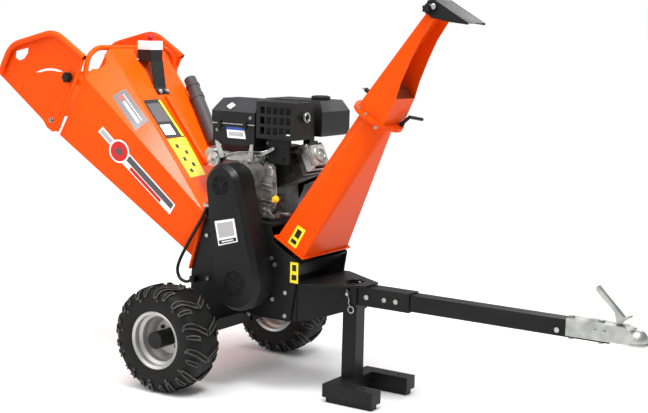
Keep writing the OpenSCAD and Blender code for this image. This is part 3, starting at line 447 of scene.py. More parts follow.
def bevel(obj, width, steps=2, limit=30.0):
    only(obj)
    rounding = obj.modifiers.new("round", "BEVEL")
    rounding.width = width
    rounding.segments = steps
    rounding.limit_method = "ANGLE"
    rounding.angle_limit = math.radians(limit)
    rounding.use_clamp_overlap = True
    bpy.ops.object.modifier_apply(modifier="round")


def soften(node, width, steps=2, limit=30.0):
    copy = loose_copy(node)
    bevel(copy, width, steps, limit)
    smooth(copy)
    return settle(copy, node + "_skin", nodes[node].data.materials[0], body_of[node],
                  [node])


def paint(obj, finish, where):
    """Gives a second finish to the faces whose middle passes the test."""
    obj.data.materials.append(finish)
    last = len(obj.data.materials) - 1
    count = 0
    for face in obj.data.polygons:
        if where(face.center, face.normal):
            face.material_index = last
            count += 1
    return count


def cut(obj, point, normal):
    """Cuts the faces along a plane, so that a finish can change there."""
    only(obj)
    bpy.ops.object.mode_set(mode="EDIT")
    bpy.ops.mesh.select_all(action="SELECT")
    bpy.ops.mesh.bisect(plane_co=point, plane_no=normal)
    bpy.ops.object.mode_set(mode="OBJECT")


# %% Soften the edges of the CAD shapes
rounds = {"side_plate_right": 0.001, "side_plate_left": 0.001, "chassis_frame": 0.0015,
          "stand_leg": 0.003, "stand_pads": 0.002, "drawbar_receiver": 0.003, "tow_bar": 0.0025,
          "coupler_body": 0.003, "coupler_latch": 0.004, "feed_hopper": 0.0012,
          "hopper_flange": 0.001, "feed_tray": 0.001, "belt_guard": 0.003,
          "engine_deck": 0.0015, "crankcase": 0.004, "cylinder_block": 0.001,
          "valve_cover": 0.007, "muffler": 0.003,
          "spout": 0.001, "spout_flap": 0.001, "chute": 0.001,
          "stop_bracket": 0.001, "stop_button": 0.004, "recoil_handle": 0.006,
          "blower_housing": 0.008, "frame_bolts": 0.0015, "hub_right": 0.002, "hub_left": 0.002,
          "rim_right": 0.001, "rim_left": 0.001,
          "manual_cap": 0.003, "manual_tube": 0.002, "tray_knob_right": 0.002,
          "tray_knob_left": 0.002, "flap_knob": 0.002, "starter_motor": 0.004,
          "control_plate": 0.001, "throttle_lever": 0.001, "rotor_bearings": 0.003,
          "chute_clamp": 0.001, "stand_pin": 0.001}
skins = {node: soften(node, width) for node, width in rounds.items()}
print("softened", len(skins), "faces", sum(len(s.data.polygons) for s in skins.values()))

# %% The air cleaner and the fuel tank, moulded with large rounds
for node, width in (("air_cleaner", 0.013), ("fuel_tank", 0.022)):
    skins[node] = soften(node, width, steps=4)
cleaner = skins["air_cleaner"]
top_of_side = at(0, 0, 1050).z
print("satin faces", paint(cleaner, satin_plastic, lambda c, n: c.z > top_of_side and n.z < 0.95))

# %% The stop box, black below and white above
box_skin = loose_copy("stop_box")
bevel(box_skin, 0.005, 3)
smooth(box_skin)
seam = at(0, 0, 1266)
cut(box_skin, seam, (0, 0, 1))
settle(box_skin, "stop_box_skin", black_plastic, "chassis", ["stop_box"])
print("white faces", paint(box_skin, white_plastic, lambda c, n: c.z > seam.z))

# %% [markdown]
# The tray's rim and the hopper's hoop are bent tubes. Each is one curve through the bar's corners,
# with every corner eased into a short arc, and a round section swept along it. Sweeping keeps the
# section true through the bends, where a row of cylinders would pinch.

# %% A tube swept through eased corners
def eased(points, radius, steps=7):
    """The same route with each corner replaced by an arc-like curve."""
    route = [points[0]]
    for before, corner, after in zip(points, points[1:], points[2:]):
        into, out = (before - corner), (after - corner)
        reach = min(radius, 0.45 * into.length, 0.45 * out.length)
        a, b = corner + into.normalized() * reach, corner + out.normalized() * reach
        for i in range(steps + 1):
            t = i / steps
            route.append(a * (1 - t) ** 2 + corner * 2 * t * (1 - t) + b * t * t)
    return route + [points[-1]]


# %% The tray's rim tube and the hopper's hoop
hopper_half, gap, tray_sheet, tube_half = 285, 1, 3, 12
rim_y = hopper_half + gap + tray_sheet + tube_half
rim_side = [(-495, 1232), (-656, 1331), (-901, 1270), (-972, 1141)]
rim_route = [at(x, -rim_y, z) for x, z in rim_side] + [at(x, rim_y, z) for x, z in rim_side[::-1]]
rim_tube = settle(tube(eased(rim_route, 0.05), 0.0235), "tray_rim_tube", orange, "tray",
                  ["tray_tube"])
hoop_side = [(-508, -273, 1135), (-516, -273, 1180), (-516, -255, 1240), (-516, -205, 1271)]
hoop_route = [at(*p) for p in hoop_side] + [at(x, -y, z) for x, y, z in hoop_side[::-1]]
hoop = settle(tube(eased(hoop_route, 0.045), 0.0205), "hopper_hoop_tube", orange, "chassis",
              ["hopper_hoop"])
print("tubes", len(rim_tube.data.polygons), len(hoop.data.polygons))

# %% [markdown]
# The tyres carry most of the machine's character: a round, slightly bulging carcass with tall
# chevron lugs, each lug hollowed on its face so that only its outline meets the ground.
# The carcass is a section spun about the axle. A lug is modelled flat, where its outline is easy
# to set out, then wrapped onto the carcass, and copied round.

# %% A section spun about an axle
def spun(section, centre, steps=96, closed=False):
    """section holds (radius, distance along Y) in millimetres, spun about the Y line through centre."""
    bpy.ops.object.select_all(action="DESELECT")
    bpy.ops.mesh.primitive_plane_add(size=0.001)
    obj = bpy.context.object
    points = [Vector((centre.x, centre.y + y / 1000, centre.z + r / 1000)) for r, y in section]
    bpy.ops.object.mode_set(mode="EDIT")
    bpy.ops.mesh.merge(type="CENTER")
    bpy.ops.transform.translate(value=points[0])
    for a, b in zip(points, points[1:] + (points[:1] if closed else [])):
        bpy.ops.mesh.extrude_region_move(TRANSFORM_OT_translate={"value": b - a})
    bpy.ops.mesh.select_all(action="SELECT")
    bpy.ops.mesh.spin(steps=steps, angle=2 * math.pi, center=centre, axis=(0, 1, 0))
    bpy.ops.mesh.select_all(action="SELECT")
    bpy.ops.mesh.remove_doubles(threshold=0.00001)
    bpy.ops.mesh.normals_make_consistent(inside=False)
    bpy.ops.object.mode_set(mode="OBJECT")
    return obj


half_section = [(101.5, 63), (103, 68.5), (108, 72.5), (113, 74.4), (116, 74.2), (119, 75.8),
                (128, 77.6),
                (142, 79), (156, 79), (168, 77.2), (178, 73.8), (186, 68), (191.5, 59), (194.5, 46),
                (196, 26)]
section = half_section + [(r, -y) for r, y in half_section[::-1]]
print("tyre section points", len(section))


# %% A lug, set out flat and wrapped round the tyre
def along_section(t):
    """Radius, distance from the middle and the outward direction, t millimetres from the crown."""
    crown = [(196.4, 0)] + half_section[::-1]
    for (r0, y0), (r1, y1) in zip(crown, crown[1:]):
        step = math.hypot(r1 - r0, y1 - y0)
        if t <= step:
            f = t / step
            return r0 + f * (r1 - r0), y0 + f * (y1 - y0), (y1 - y0) / step, (r0 - r1) / step
        t -= step
    return None


lug_root = 2.0
lug_round = 198.0


def flat_lug(rows, height, hollow, edge):
    """rows: (distance from the crown, start, end round the tyre) from crown to shoulder."""
    bpy.ops.object.select_all(action="DESELECT")
    bpy.ops.mesh.primitive_grid_add(x_subdivisions=1, y_subdivisions=len(rows) - 1, size=2)
    obj = bpy.context.object
    for vertex in obj.data.vertices:
        k = round((vertex.co.y + 1) / 2 * (len(rows) - 1))
        t, s0, s1 = rows[k]
        vertex.co = (s0 if vertex.co.x < 0 else s1, t, -lug_root)
    bpy.ops.object.mode_set(mode="EDIT")
    bpy.ops.mesh.select_all(action="SELECT")
    bpy.ops.mesh.extrude_region_move(TRANSFORM_OT_translate={"value": (0, 0, height + lug_root)})
    bpy.ops.mesh.inset(thickness=1.6, depth=0, use_even_offset=True)
    bpy.ops.transform.translate(value=(0, 0, 0.6))
    bpy.ops.mesh.inset(thickness=edge, depth=0, use_even_offset=True)
    bpy.ops.mesh.inset(thickness=0.8, depth=0, use_even_offset=True)
    bpy.ops.transform.translate(value=(0, 0, -hollow))
    bpy.ops.mesh.select_all(action="SELECT")
    bpy.ops.mesh.normals_make_consistent(inside=False)
    bpy.ops.object.mode_set(mode="OBJECT")
    obj.data.materials.append(tyre_rubber)
    obj.data.materials.append(lug_top_grey)
    # The tops of the lugs get the lighter grey tone.
    for face in obj.data.polygons:
        if face.center.z > height - 0.2:
            face.material_index = 1
    return obj


def wrapped(flat, centre, turn, side):
    """A copy of a flat lug on one side of the tread, turned round the axle."""
    copy = twin(flat)
    for vertex in copy.data.vertices:
        s, t, h = vertex.co
        r, y, out_r, out_y = along_section(max(t, 0))
        angle = turn + s / lug_round
        r += h * out_r
        y = side * (y + h * out_y + min(t, 0))
        vertex.co = centre + Vector((math.sin(angle) * r, y, math.cos(angle) * r)) / 1000
    if side < 0:
        copy.data.flip_normals()
    return copy


long_lug = flat_lug([(3, 46, 70), (26, 32, 58), (50, 16, 42), (66, 6, 32), (80, 2, 26),
                     (95, 4, 22)],
                    7.0, 3.6, 3.6)
short_lug = flat_lug([(46, 62, 80), (62, 54, 74), (78, 50, 70), (93, 52, 66)], 6.6, 3.0, 3.2)
nub = flat_lug([(98, 16, 29), (108, 16, 29)], 2.6, 1.4, 1.8)
pitches = 12
print("lug faces", len(long_lug.data.polygons), len(short_lug.data.polygons))

# %% Both tyres
for side_name in ("right", "left"):
    low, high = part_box("tyre_" + side_name)
    centre = (low + high) / 2
    carcass = spun(section, centre, closed=True)
    carcass.data.materials.append(tyre_rubber)
    pieces = [carcass]
    for k in range(pitches):
        for side in (-1, 1):
            turn = 2 * math.pi * k / pitches
            pieces += [wrapped(lug, centre, turn, side) for lug in (long_lug, short_lug, nub)]
    join(pieces)
    smooth(carcass, 32)
    settle(carcass, "tyre_" + side_name + "_tread", None, "wheel_" + side_name,
           ["tyre_" + side_name])
    print(carcass.name, len(carcass.data.polygons))
for flat in (long_lug, short_lug, nub):
    bpy.data.objects.remove(flat)

# %% [markdown]
# Labels are thin vinyl on the sheet. Each is a grid between four corners, pressed onto the painted skin
# and lifted half a millimetre, so it follows the panel exactly. All of them are plain blocks of colour,
# and a block that lies on another is lifted one layer more.

# %% Panels of the hopper, as four corners each
vinyl_thickness = 0.0003
first, second, third = 0.0005, 0.0009, 0.0013
panels = {
    "side": [at(-646, -285, 919), at(-507, -285, 1155), at(-46.5, -168, 475), at(8, -168, 650)],
    "chamfer": [at(-507, -285, 1155), at(-490, -161, 1268), at(8, -168, 650), at(5, -131, 654)],
    "top": [at(-490, -161, 1268), at(-490, 161, 1268), at(5, -131, 654), at(5, 131, 654)]}


def on_panel(panel, u, v):
    a, b, c, d = panels[panel]
    return (a * (1 - v) + b * v) * (1 - u) + (c * (1 - v) + d * v) * u


def landed(skin, point, out):
    """Where a point falls on a skin when it is pressed straight inwards."""
    hit, place, normal, index = skin.ray_cast(point + out * 0.06, -out, distance=0.12)
    return (place, normal) if hit else (point, out)


def patch(name, corners, finish, lift=first, body="chassis", skin=None):
    """A thin sheet through four corners, listed round the label, lifted off the surface."""
    bpy.ops.object.select_all(action="DESELECT")
    bpy.ops.mesh.primitive_grid_add(x_subdivisions=8, y_subdivisions=8, size=2)
    obj = bpy.context.object
    out = (corners[1] - corners[0]).cross(corners[3] - corners[0]).normalized()
    for vertex in obj.data.vertices:
        p, q = (vertex.co.x + 1) / 2, (vertex.co.y + 1) / 2
        low = corners[0] * (1 - p) + corners[1] * p
        high = corners[3] * (1 - p) + corners[2] * p
        spot, normal = low * (1 - q) + high * q, out
        if skin:
            spot, normal = landed(skin, spot, out)
        vertex.co = spot + out * lift
    thicken(out * vinyl_thickness)
    return settle(obj, name, finish, body)


def label(name, panel, quad, finish, lift=first):
    return patch(name, [on_panel(panel, u, v) for u, v in quad], finish, lift,
                 skin=skins["feed_hopper"])


def within(quad, u0, u1, v0, v1):
    """A smaller quad inside a label's quad, by fractions along its two sides."""
    def mix(p, q, f):
        return (p[0] + (q[0] - p[0]) * f, p[1] + (q[1] - p[1]) * f)

    def spot(u, v):
        return mix(mix(quad[0], quad[1], u), mix(quad[3], quad[2], u), v)
    return [spot(u0, v0), spot(u1, v0), spot(u1, v1), spot(u0, v1)]


# %% The hopper's labels
badge = [(0.4113, 0.107), (0.4288, 0.7569), (0.2136, 0.7269), (0.1853, 0.2416)]
label("badge_plate", "chamfer", badge, vinyl["grey"])
label("badge_bar", "chamfer", within(badge, 0.34, 0.52, 0.10, 0.74), vinyl["ash"], second)
label("badge_line", "chamfer", within(badge, 0.64, 0.70, 0.10, 0.90), vinyl["ash"], second)
label("badge_tick", "chamfer", within(badge, 0.30, 0.56, 0.78, 0.92), vinyl["red"], second)
card = [(0.5579, 0.0195), (0.5598, 0.4245), (0.3207, 0.3675), (0.3251, 0.02)]
label("card_back", "top", card, vinyl["black"])
label("card_white", "top", within(card, 0.08, 0.62, 0.08, 0.34), vinyl["white"], second)
label("card_grey", "top", within(card, 0.08, 0.80, 0.42, 0.90), vinyl["grey"], second)
label("card_edge", "top", within(card, 0.86, 0.97, 0.03, 0.97), vinyl["yellow"], second)
notice = [(0.7958, 0.0306), (0.7922, 0.3865), (0.5598, 0.4245), (0.5657, 0.0298)]
label("notice_back", "top", notice, vinyl["yellow"])
for i, (u, v) in enumerate([(0.3, 0.16), (0.62, 0.30), (0.3, 0.46), (0.62, 0.62), (0.3, 0.80)]):
    label("notice_mark_%d" % i, "top", within(notice, u - 0.09, u + 0.09, v - 0.05, v + 0.05),
          vinyl["black"], second)

# %% The side stripe: a pale tag, a red disc and a long dark bar with a red one under it
band = [(0.200, 0.44), (0.790, 0.34), (0.806, 0.625), (0.228, 0.70)]
label("stripe_tag", "side", within(band, 0.0, 0.24, 0.30, 0.78), vinyl["white"])
label("stripe_tag_core", "side", within(band, 0.015, 0.225, 0.40, 0.68), vinyl["ash"], second)
label("stripe_back", "side", within(band, 0.36, 1.0, 0.06, 0.94), vinyl["white"])
label("stripe_bar", "side", within(band, 0.375, 0.985, 0.44, 0.86), vinyl["grey"], second)
label("stripe_line", "side", within(band, 0.45, 0.86, 0.14, 0.38), vinyl["red"], second)
hub = on_panel("side", 0.372, 0.545)
along = (on_panel("side", 0.40, 0.545) - hub).normalized()
out = (panels["side"][2] - panels["side"][0]).cross(panels["side"][1] - panels["side"][0]).normalized()
out = out if out.y < 0 else -out
for name, wide, finish, lift in (("disc_back", 0.047, vinyl["white"], 0.0011),
                                 ("disc_red", 0.040, vinyl["red"], 0.0015),
                                 ("disc_core", 0.015, vinyl["grey"], 0.0019)):
    bpy.ops.object.select_all(action="DESELECT")
    bpy.ops.mesh.primitive_circle_add(vertices=48, radius=wide, fill_type="NGON")
    disc = bpy.context.object
    facing = Matrix((along, out.cross(along), out)).transposed().to_4x4()
    disc.data.transform(Matrix.Translation(hub) @ facing)
    for vertex in disc.data.vertices:
        vertex.co = landed(skins["feed_hopper"], vertex.co, out)[0] + out * lift
    thicken(out * vinyl_thickness)
    settle(disc, name, finish, "chassis")

# %% Labels on the guard, the engine, the housing and the chute
guard_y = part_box("belt_guard")[0].y * 1000
plate = [(159.6, 556.8), (249.1, 582.2), (230.0, 667.3), (139.3, 647.7)]


def on_wall(quad, y):
    return [at(x, y, z) for x, z in quad]


patch("guard_plate", on_wall(plate, guard_y), vinyl["white"])
patch("guard_plate_strip", on_wall(within(plate, 0.06, 0.94, 0.05, 0.20), guard_y), vinyl["black"],
      second)
patch("guard_plate_text", on_wall(within(plate, 0.20, 0.80, 0.10, 0.15), guard_y), vinyl["white"],
      third)
patch("guard_plate_lines", on_wall(within(plate, 0.10, 0.90, 0.30, 0.90), guard_y), vinyl["ash"],
      second)
cleaner_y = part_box("air_cleaner")[0].y * 1000 + 3
tag = [(97.6, 950.3), (183.2, 950.1), (174.0, 991.0), (91.2, 991.0)]
patch("engine_tag", on_wall(tag, cleaner_y), vinyl["white"])
patch("engine_tag_band", on_wall(within(tag, 0.0, 1.0, 0.76, 1.0), cleaner_y), vinyl["blue"],
      second)
patch("engine_tag_lines", on_wall(within(tag, 0.1, 0.9, 0.20, 0.58), cleaner_y), vinyl["ash"],
      second)
side_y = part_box("side_plate_right")[0].y * 1000
sign = [(414, 434), (450, 434), (450, 512), (414, 512)]
patch("housing_sign", on_wall(sign, side_y), vinyl["yellow"])
patch("housing_sign_mark", on_wall(within(sign, 0.25, 0.75, 0.58, 0.88), side_y), vinyl["black"],
      second)
patch("housing_sign_lines", on_wall(within(sign, 0.2, 0.8, 0.14, 0.40), side_y), vinyl["black"],
      second)

tilt = math.radians(61)
chute_x, chute_z = 399, 561
foot_half, foot_taper = 154, 91 / 300


def on_chute(x, y, z):
    """A point given in the chute's own frame: x forward and down, z along the duct."""
    return at(chute_x + math.sin(tilt) * x + math.cos(tilt) * z, y,
              chute_z - math.cos(tilt) * x + math.sin(tilt) * z)


def chute_wall(x, z):
    """A point on the right wall of the chute's foot, which narrows upwards."""
    return on_chute(x, foot_taper * z - foot_half, z)


ticket = [chute_wall(-18.8, 11.2), chute_wall(23.3, 9.7), chute_wall(18.7, 86.6),
          chute_wall(-20.6, 84.0)]
patch("chute_sign", ticket, vinyl["yellow"], 0.0012, skin=skins["chute"])
mark = [chute_wall(-10, 44), chute_wall(12, 44), chute_wall(10, 74), chute_wall(-12, 74)]
patch("chute_sign_mark", mark, vinyl["black"], 0.0016, skin=skins["chute"])
lines = [chute_wall(-12, 20), chute_wall(14, 20), chute_wall(12, 34), chute_wall(-12, 34)]
patch("chute_sign_lines", lines, vinyl["black"], 0.0016, skin=skins["chute"])

# %% [markdown]
# Small parts make the engine look like an engine: bolts on washers, levers, rods, a spring, caps.
# Each round part is a section spun about its own axis. A bolt is modelled once and copied to every
# place, each copy with its own mesh, so that one change to the bolt changes them all.

# %% Turned parts and bolts
def turned(section, place, axis, steps=32, angle=35):
    """section holds (radius, height) in millimetres; the height runs along axis from place."""
    obj = spun(section, Vector((0, 0, 0)), steps)
    turn = Vector((0, 1, 0)).rotation_difference(Vector(axis)).to_matrix().to_4x4()
    obj.data.transform(Matrix.Translation(place) @ turn)
    only(obj)
    bpy.ops.object.mode_set(mode="EDIT")
    bpy.ops.mesh.select_all(action="SELECT")
    bpy.ops.mesh.normals_make_consistent(inside=False)
    bpy.ops.object.mode_set(mode="OBJECT")
    smooth(obj, angle)
    return obj


def bolts(name, places, axis, across, body, finish=None):
    """Hexagon heads on washers, all facing along axis."""
    s = across / 1000
    bpy.ops.object.select_all(action="DESELECT")
    bpy.ops.mesh.primitive_cylinder_add(vertices=6, radius=0.577 * s, depth=0.45 * s,
                                        location=(0, 0, 0.355 * s))
    head = bpy.context.object
    bpy.ops.object.transform_apply(location=True)
    bevel(head, 0.07 * s, 2)
    washer = turned([(0, 0), (0.74 * across, 0), (0.78 * across, 0.04 * across),
                     (0.74 * across, 0.13 * across), (0, 0.13 * across)],
                    Vector((0, 0, 0)), (0, 0, 1), 24)
    master = join([head, washer])
    turn = Vector((0, 0, 1)).rotation_difference(Vector(axis)).to_matrix().to_4x4()
    copies = []
    for place in places:
        copy = twin(master)
        copy.data.transform(Matrix.Translation(place) @ turn)
        copies.append(copy)
    bpy.data.objects.remove(master)
    group = join(copies)
    smooth(group, 30)
    return settle(group, name, finish or zinc, body)


def block(name, low, high, round_off, finish, body="chassis", steps=3):
    """A moulded or folded block between two corners in millimetres, with rounded edges."""
    a, b = at(*low), at(*high)
    bpy.ops.object.select_all(action="DESELECT")
    bpy.ops.mesh.primitive_cube_add(size=1, location=(a + b) / 2)
    obj = bpy.context.object
    obj.scale = b - a
    bpy.ops.object.transform_apply(location=True, rotation=True, scale=True)
    bevel(obj, round_off / 1000, steps)
    smooth(obj)
    return settle(obj, name, finish, body)


def outline_plate(name, outline, y0, y1, round_off, finish, body="chassis"):
    """A flat plate cut to an outline of (x, z) points, standing between two distances y."""
    bpy.ops.object.select_all(action="DESELECT")
    bpy.ops.mesh.primitive_circle_add(vertices=len(outline), radius=1, fill_type="NGON")
    obj = bpy.context.object
    for vertex, (x, z) in zip(obj.data.vertices, outline):
        vertex.co = at(x, y0, z)
    thicken((0, (y1 - y0) / 1000, 0))
    bevel(obj, round_off / 1000, 2)
    smooth(obj)
    return settle(obj, name, finish, body)


def rod(name, points, diameter, finish, body="chassis", radius=0.008):
    return settle(tube(eased([Vector(p) for p in points], radius, 4), diameter / 1000),
                  name, finish, body)


# %% The air cleaner's bright joint, its mark, and the caps
block("air_cleaner_joint", (24.2, -148, 1002), (222.8, -2.5, 1005.5), 1.0, zinc, steps=2)
diamond = [(84, 1068), (106, 1060), (122, 1074), (100, 1083)]
patch("cleaner_mark", [at(x, -132, z) for x, z in diamond], vinyl["white"], 0.0006,
      skin=skins["air_cleaner"])
for i, x in enumerate((60, 180)):
    block("cleaner_clip_%d" % i, (x - 7, -156, 988), (x + 7, -146, 1018), 2.0, black_plastic)

cap = turned([(0, -22), (7, -22), (8, -21), (8, -13), (13, -12), (14, -10), (14, -4), (12, -2),
              (10, 0),
              (0, 0)], at(300, -103, 728), (0, 1, 0))
settle(cap, "oil_cap", yellow_plastic, "chassis")
block("oil_cap_grip", (296, -131, 719), (304, -122, 737), 2.4, yellow_plastic)
tank_cap = turned([(0, 0), (36, 0), (37, 2), (37, 11), (35, 14), (26, 16), (0, 17)],
                  at(352, 104, 1098),
                  (0, 0, 1), 48)
settle(tank_cap, "tank_cap", black_plastic, "chassis")
ring = turned([(13.5, 0), (17.5, 0), (18.6, 1.5), (18.6, 8), (17.2, 9.6), (14.6, 9.6), (13.5, 8),
               (13.5, 0)],
              at(415, -92, 1042), (1, 0, 0), 40)
settle(ring, "exhaust_ring", zinc, "chassis")
bolts("cleaner_bolts", [at(50, -150.5, 978), at(206, -150.5, 1030)], (0, -1, 0), 9, "chassis")

# %% [markdown]
# The cylinder leans forward at 24 degrees, so its parts are placed in the cylinder's own frame:
# the first number runs up the bore, the second is to the left, the third is square to both.

# %% Valve cover, shroud and spark plug
lean = math.radians(24)
bore_x, bore_z = 163, 784


def on_cylinder(a, b, c):
    return at(bore_x + a * math.cos(lean) - c * math.sin(lean), b,
              bore_z + a * math.sin(lean) + c * math.cos(lean))


bore = (on_cylinder(1, 0, 0) - on_cylinder(0, 0, 0)).normalized()
disc = turned([(0, 0), (33, 0), (33, 2.5), (31, 5), (24, 5.5), (22, 4), (9, 4), (7, 6), (0, 6.5)],
              on_cylinder(283, 0, 2), bore, 48)
settle(disc, "valve_cover_disc", zinc, "chassis")
for side in (-1, 1):
    rod("valve_cover_bead_%s" % ("left" if side > 0 else "right"),
        [on_cylinder(270, side * 47, -46), on_cylinder(270, side * 47, 46)], 5, zinc)
bolts("valve_cover_bolts", [on_cylinder(267.6, y, z) for y in (-49, 49) for z in (-44, 44)], bore,
      11,
      "chassis")
block("fin_shroud", (222, -84, 905), (262, -66, 958), 4.0, black_plastic)
outline_plate("cylinder_shroud", [(236, 872), (262, 858), (300, 905), (338, 930), (330, 958),
                                  (236, 958)],
              -92, -88, 1.2, black)
bolts("shroud_bolts", [at(250, -92.4, 936), at(252, -92.4, 884), at(322, -92.4, 941)], (0, -1, 0),
      10, "chassis")
plug = turned([(0, 0), (9, 0), (10, 2), (10, 8), (7, 9), (7, 16), (8.5, 18), (8.5, 34), (6, 37),
               (0, 38)],
              on_cylinder(244, -60, 30), (0.2, -1, 0.1), 24)
settle(plug, "plug_boot", hose_rubber, "chassis")
rod("plug_lead", [on_cylinder(247, -96, 31), on_cylinder(214, -118, 44), on_cylinder(150, -104, 74),
                  on_cylinder(110, -70, 80)], 6, hose_rubber, radius=0.03)

# %% Crankcase cover, with its ribs, bolts and drain
case = [(236, 858), (262, 872), (286, 852), (293, 800), (296, 742), (291, 690), (270, 668),
        (226, 668), (214, 760)]
outline_plate("crankcase_cover", case, -101, -94, 2.5, alloy)
bolts("crankcase_bolts", [at(x, -101.3, z) for x, z in
                          ((262, 864), (283, 846), (287, 792), (290, 740), (284, 692), (262, 676),
                           (240, 684))],
      (0, -1, 0), 10, "chassis")
for i, z in enumerate((700, 716, 758, 776, 812, 828)):
    rod("crankcase_rib_%d" % i, [at(228, -101, z + 5), at(278, -101, z)], 4.4, alloy)
boss = turned([(0, 0), (21, 0), (21, 5), (17, 8), (8, 8), (8, 5), (0, 5)], at(262, -101, 832),
              (0, -1, 0), 32)
settle(boss, "governor_boss", alloy, "chassis")
rod("drain_pipe", [at(250, -70, 676), at(318, -84, 672), at(352, -96, 674)], 11, alloy)
bolts("drain_plug", [at(352, -96, 674)], (0.97, -0.2, 0), 13, "chassis")
block("crankcase_foot", (232, -104, 651.4), (288, -66, 668), 2.4, alloy)
bolts("foot_bolt", [at(268, -96, 668)], (0, 0, 1), 13, "chassis")
rod("pressure_wire", [at(300, -84, 700), at(330, -92, 690), at(342, -70, 668), at(330, -60, 652)],
    5,
    hose_rubber, radius=0.02)
block("low_frame_rail", (205, -128, 651.5), (232, -92, 664), 2.0, black)

behind = at(252, 0, 0).x
print("dark faces", paint(skins["crankcase"], fin_iron, lambda c, n: c.x > behind))

# %% Controls: rods, a spring and a cable clip
rod("governor_rod", [at(92, -158, 880), at(150, -161, 900), at(262, -161, 908), at(286, -130, 915)],
    3.6, zinc)
rod("choke_rod", [at(70, -150, 924), at(60, -152, 904), at(104, -152, 884)], 4, zinc)
per_turn, turns, coil_radius, coil_pitch = 12, 10, 4.2, 7.04
coil = []
for i in range(per_turn * turns + 1):
    a = 2 * math.pi * i / per_turn
    coil.append(at(112 + coil_pitch * i / per_turn, -142 + coil_radius * math.cos(a),
                   890 + coil_radius * math.sin(a)))
settle(tube(coil, 0.0016), "governor_spring", zinc, "chassis")
rod("spring_tail", [coil[-1], at(208, -146, 896), at(214, -150, 905)], 1.8, zinc)
bolts("control_bolts", [at(84, -112.5, 884), at(150, -112.5, 884), at(228, -128.5, 888)],
      (0, -1, 0), 10, "chassis")
lever_pin = turned([(0, 0), (9, 0), (9, 2), (6, 3), (6, 8), (0, 9)], at(208, -157, 868), (0, -1, 0),
                   24)
settle(lever_pin, "lever_pin", zinc, "chassis")
outline_plate("speed_bracket", [(96, 866), (188, 866), (196, 876), (190, 893), (150, 893),
                                (140, 886), (100, 890)],
              -122, -118, 1.0, zinc)
outline_plate("carburettor_flange", [(70, 868), (150, 868), (156, 890), (140, 905), (78, 905),
                                     (64, 892)],
              -104, -84, 3.0, alloy)

block("hose_gland", (-46, -195, 378), (-22, -170.3, 404), 3.0, black_plastic)
block("hose_clamp", (26, -201, 684), (54, -180, 696), 2.0, zinc)
outline_plate("hose_bracket", [(24, 634), (56, 634), (56, 698), (24, 698)], -181, -178, 0.8, black)
block("hose_bracket_foot", (24, -181, 631.5), (56, -170.2, 634.5), 0.8, black)

# %% Starter, with its end cap and terminal
start_x, start_z = 12, 858
face = turned([(0, 0), (28.4, 0), (29, -1.5), (29, -4), (26, -7), (17, -8), (15, -10), (6, -10),
               (5, -12), (0, -12)],
              at(start_x, -120, start_z), (0, 1, 0), 48)
settle(face, "starter_face", alloy, "chassis")
bolts("starter_bolts", [at(start_x + 21 * math.cos(a), -127.3,
                           start_z + 21 * math.sin(a)) for a in (0.5, 3.6)],
      (0, -1, 0), 7, "chassis")
bolts("starter_nut", [at(start_x, -132, start_z)], (0, -1, 0), 9, "chassis")
band = turned([(28.2, 0), (29.6, 0.5), (29.6, 13.5), (28.2, 14), (28.2, 0)],
              at(start_x, -112, start_z), (0, 1, 0), 48)
settle(band, "starter_band", black_plastic, "chassis")

# %% [markdown]
# The tray turns on two bright bolts. Its rim tube is capped solid, and the thin black disc on each end
# is painted shade, standing for the dark hollow inside of a tube cut off square. The stop switch stands
# on a bracket with its own bolts.

# %% Tray bolts, tube ends and the stop switch's bolts
for side, word in ((-1, "right"), (1, "left")):
    # A thin black disc on the capped tube end: painted shade for the dark hollow inside of the tube.
    end = turned([(0, 0), (8.6, 0), (9, 0.3), (9, 0.8), (0, 0.8)],
                 at(-495, side * rim_y, 1232), Vector((161, 0, -99)).normalized(), 32)
    settle(end, "tray_tube_end_shade_" + word, black_plastic, "tray")
    bolts("tray_pivot_bolt_" + word, [at(-687, side * 289.8, 976)], (0, side, 0), 15, "tray")
for side, word in ((-1, "right"), (1, "left")):
    rod("tray_flange_" + word, [at(x, side * 297.5, z) for x,
                                z in ((-505, 1226), (-570, 1092), (-636, 955), (-648, 936))],
        15, orange, "tray")
top_normal = Vector((0.778, 0, 0.628))
bolts("switch_bracket_bolts", [at(-349, y, 1097.5) + top_normal * 0.0045 for y in (-20, 20)],
      top_normal, 12,
      "chassis")
bolts("switch_shelf_bolts", [at(-452, -34, 1223.5)], (0, 0, 1), 10, "chassis")
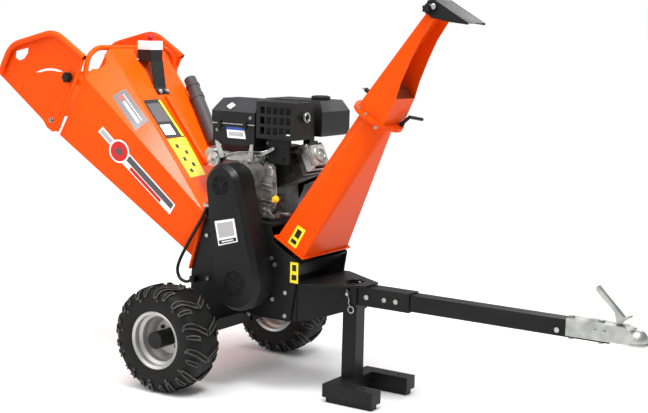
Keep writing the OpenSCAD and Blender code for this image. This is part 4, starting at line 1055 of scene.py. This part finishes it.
collar = turned([(14.8, 0), (21, 0), (23, 1), (23, 2.8), (21, 3.9), (14.8, 4.2)],
                at(-417, 0, 1300.8), (0, 0, 1), 40)
settle(collar, "stop_collar", red_plastic, "chassis")

# %% Chute and spout: clips on the ring, a rod handle and the flap's bright pivot
axis_up = (on_chute(0, 0, 1) - on_chute(0, 0, 0)).normalized()
for i, degrees in enumerate((-60, 60, 180)):
    a = math.radians(degrees)
    out = (on_chute(math.cos(a), math.sin(a), 0) - on_chute(0, 0, 0)).normalized()
    place = on_chute(85.2 * math.cos(a), 85.2 * math.sin(a), 554)
    bolts("ring_clip_bolt_%d" % i, [place], out, 10, "chassis")
for i, degrees in enumerate((-125, -95, 125)):
    a = math.radians(degrees)
    bolts("ring_bolt_%d" % i, [on_chute(88 * math.cos(a), 88 * math.sin(a), 576.4)], axis_up, 11,
          "spout")
rod("spout_handle", [on_chute(-58, 20.5, 612.6), on_chute(-118.6, 16, 618.1)], 10.6, zinc, "spout")
stub = (on_chute(-118, 16, 618) - on_chute(-52, 21, 612)).normalized()
grip = turned([(0, 0), (7, 0), (8.5, 2), (8.5, 14), (6, 18), (0, 19)], on_chute(-92, 18, 615.8),
              stub, 24)
settle(grip, "spout_handle_grip", black_plastic, "spout")
for side in (-1, 1):
    pivot = turned([(0, 0), (10.5, 0), (11, 1), (10.6, 5), (7, 9), (0, 10.5)],
                   on_chute(23, side * 71.2, 1035), (0, side, 0), 32)
    settle(pivot, "flap_pivot_%s" % ("left" if side > 0 else "right"), zinc, "flap")

# %% Coupler: rivets, and the pressed rib and lip along its side
for side, word in ((-1, "right"), (1, "left")):
    for i, x in enumerate((1548, 1580)):
        rivet = turned([(0, 0), (8.5, 0), (8, 2.4), (5, 4.2), (0, 4.8)], at(x, side * 34.2, 402),
                       (0, side, 0), 24)
        settle(rivet, "coupler_rivet_%s_%d" % (word, i), zinc, "chassis")
rod("coupler_rib", [at(1452, -34.2, 421), at(1600, -34.2, 421)], 3.5, zinc)
rod("coupler_lip", [at(1452, -34.6, 368.4), at(1690, -34.6, 369.5)], 3.5, zinc)
print("small parts done")
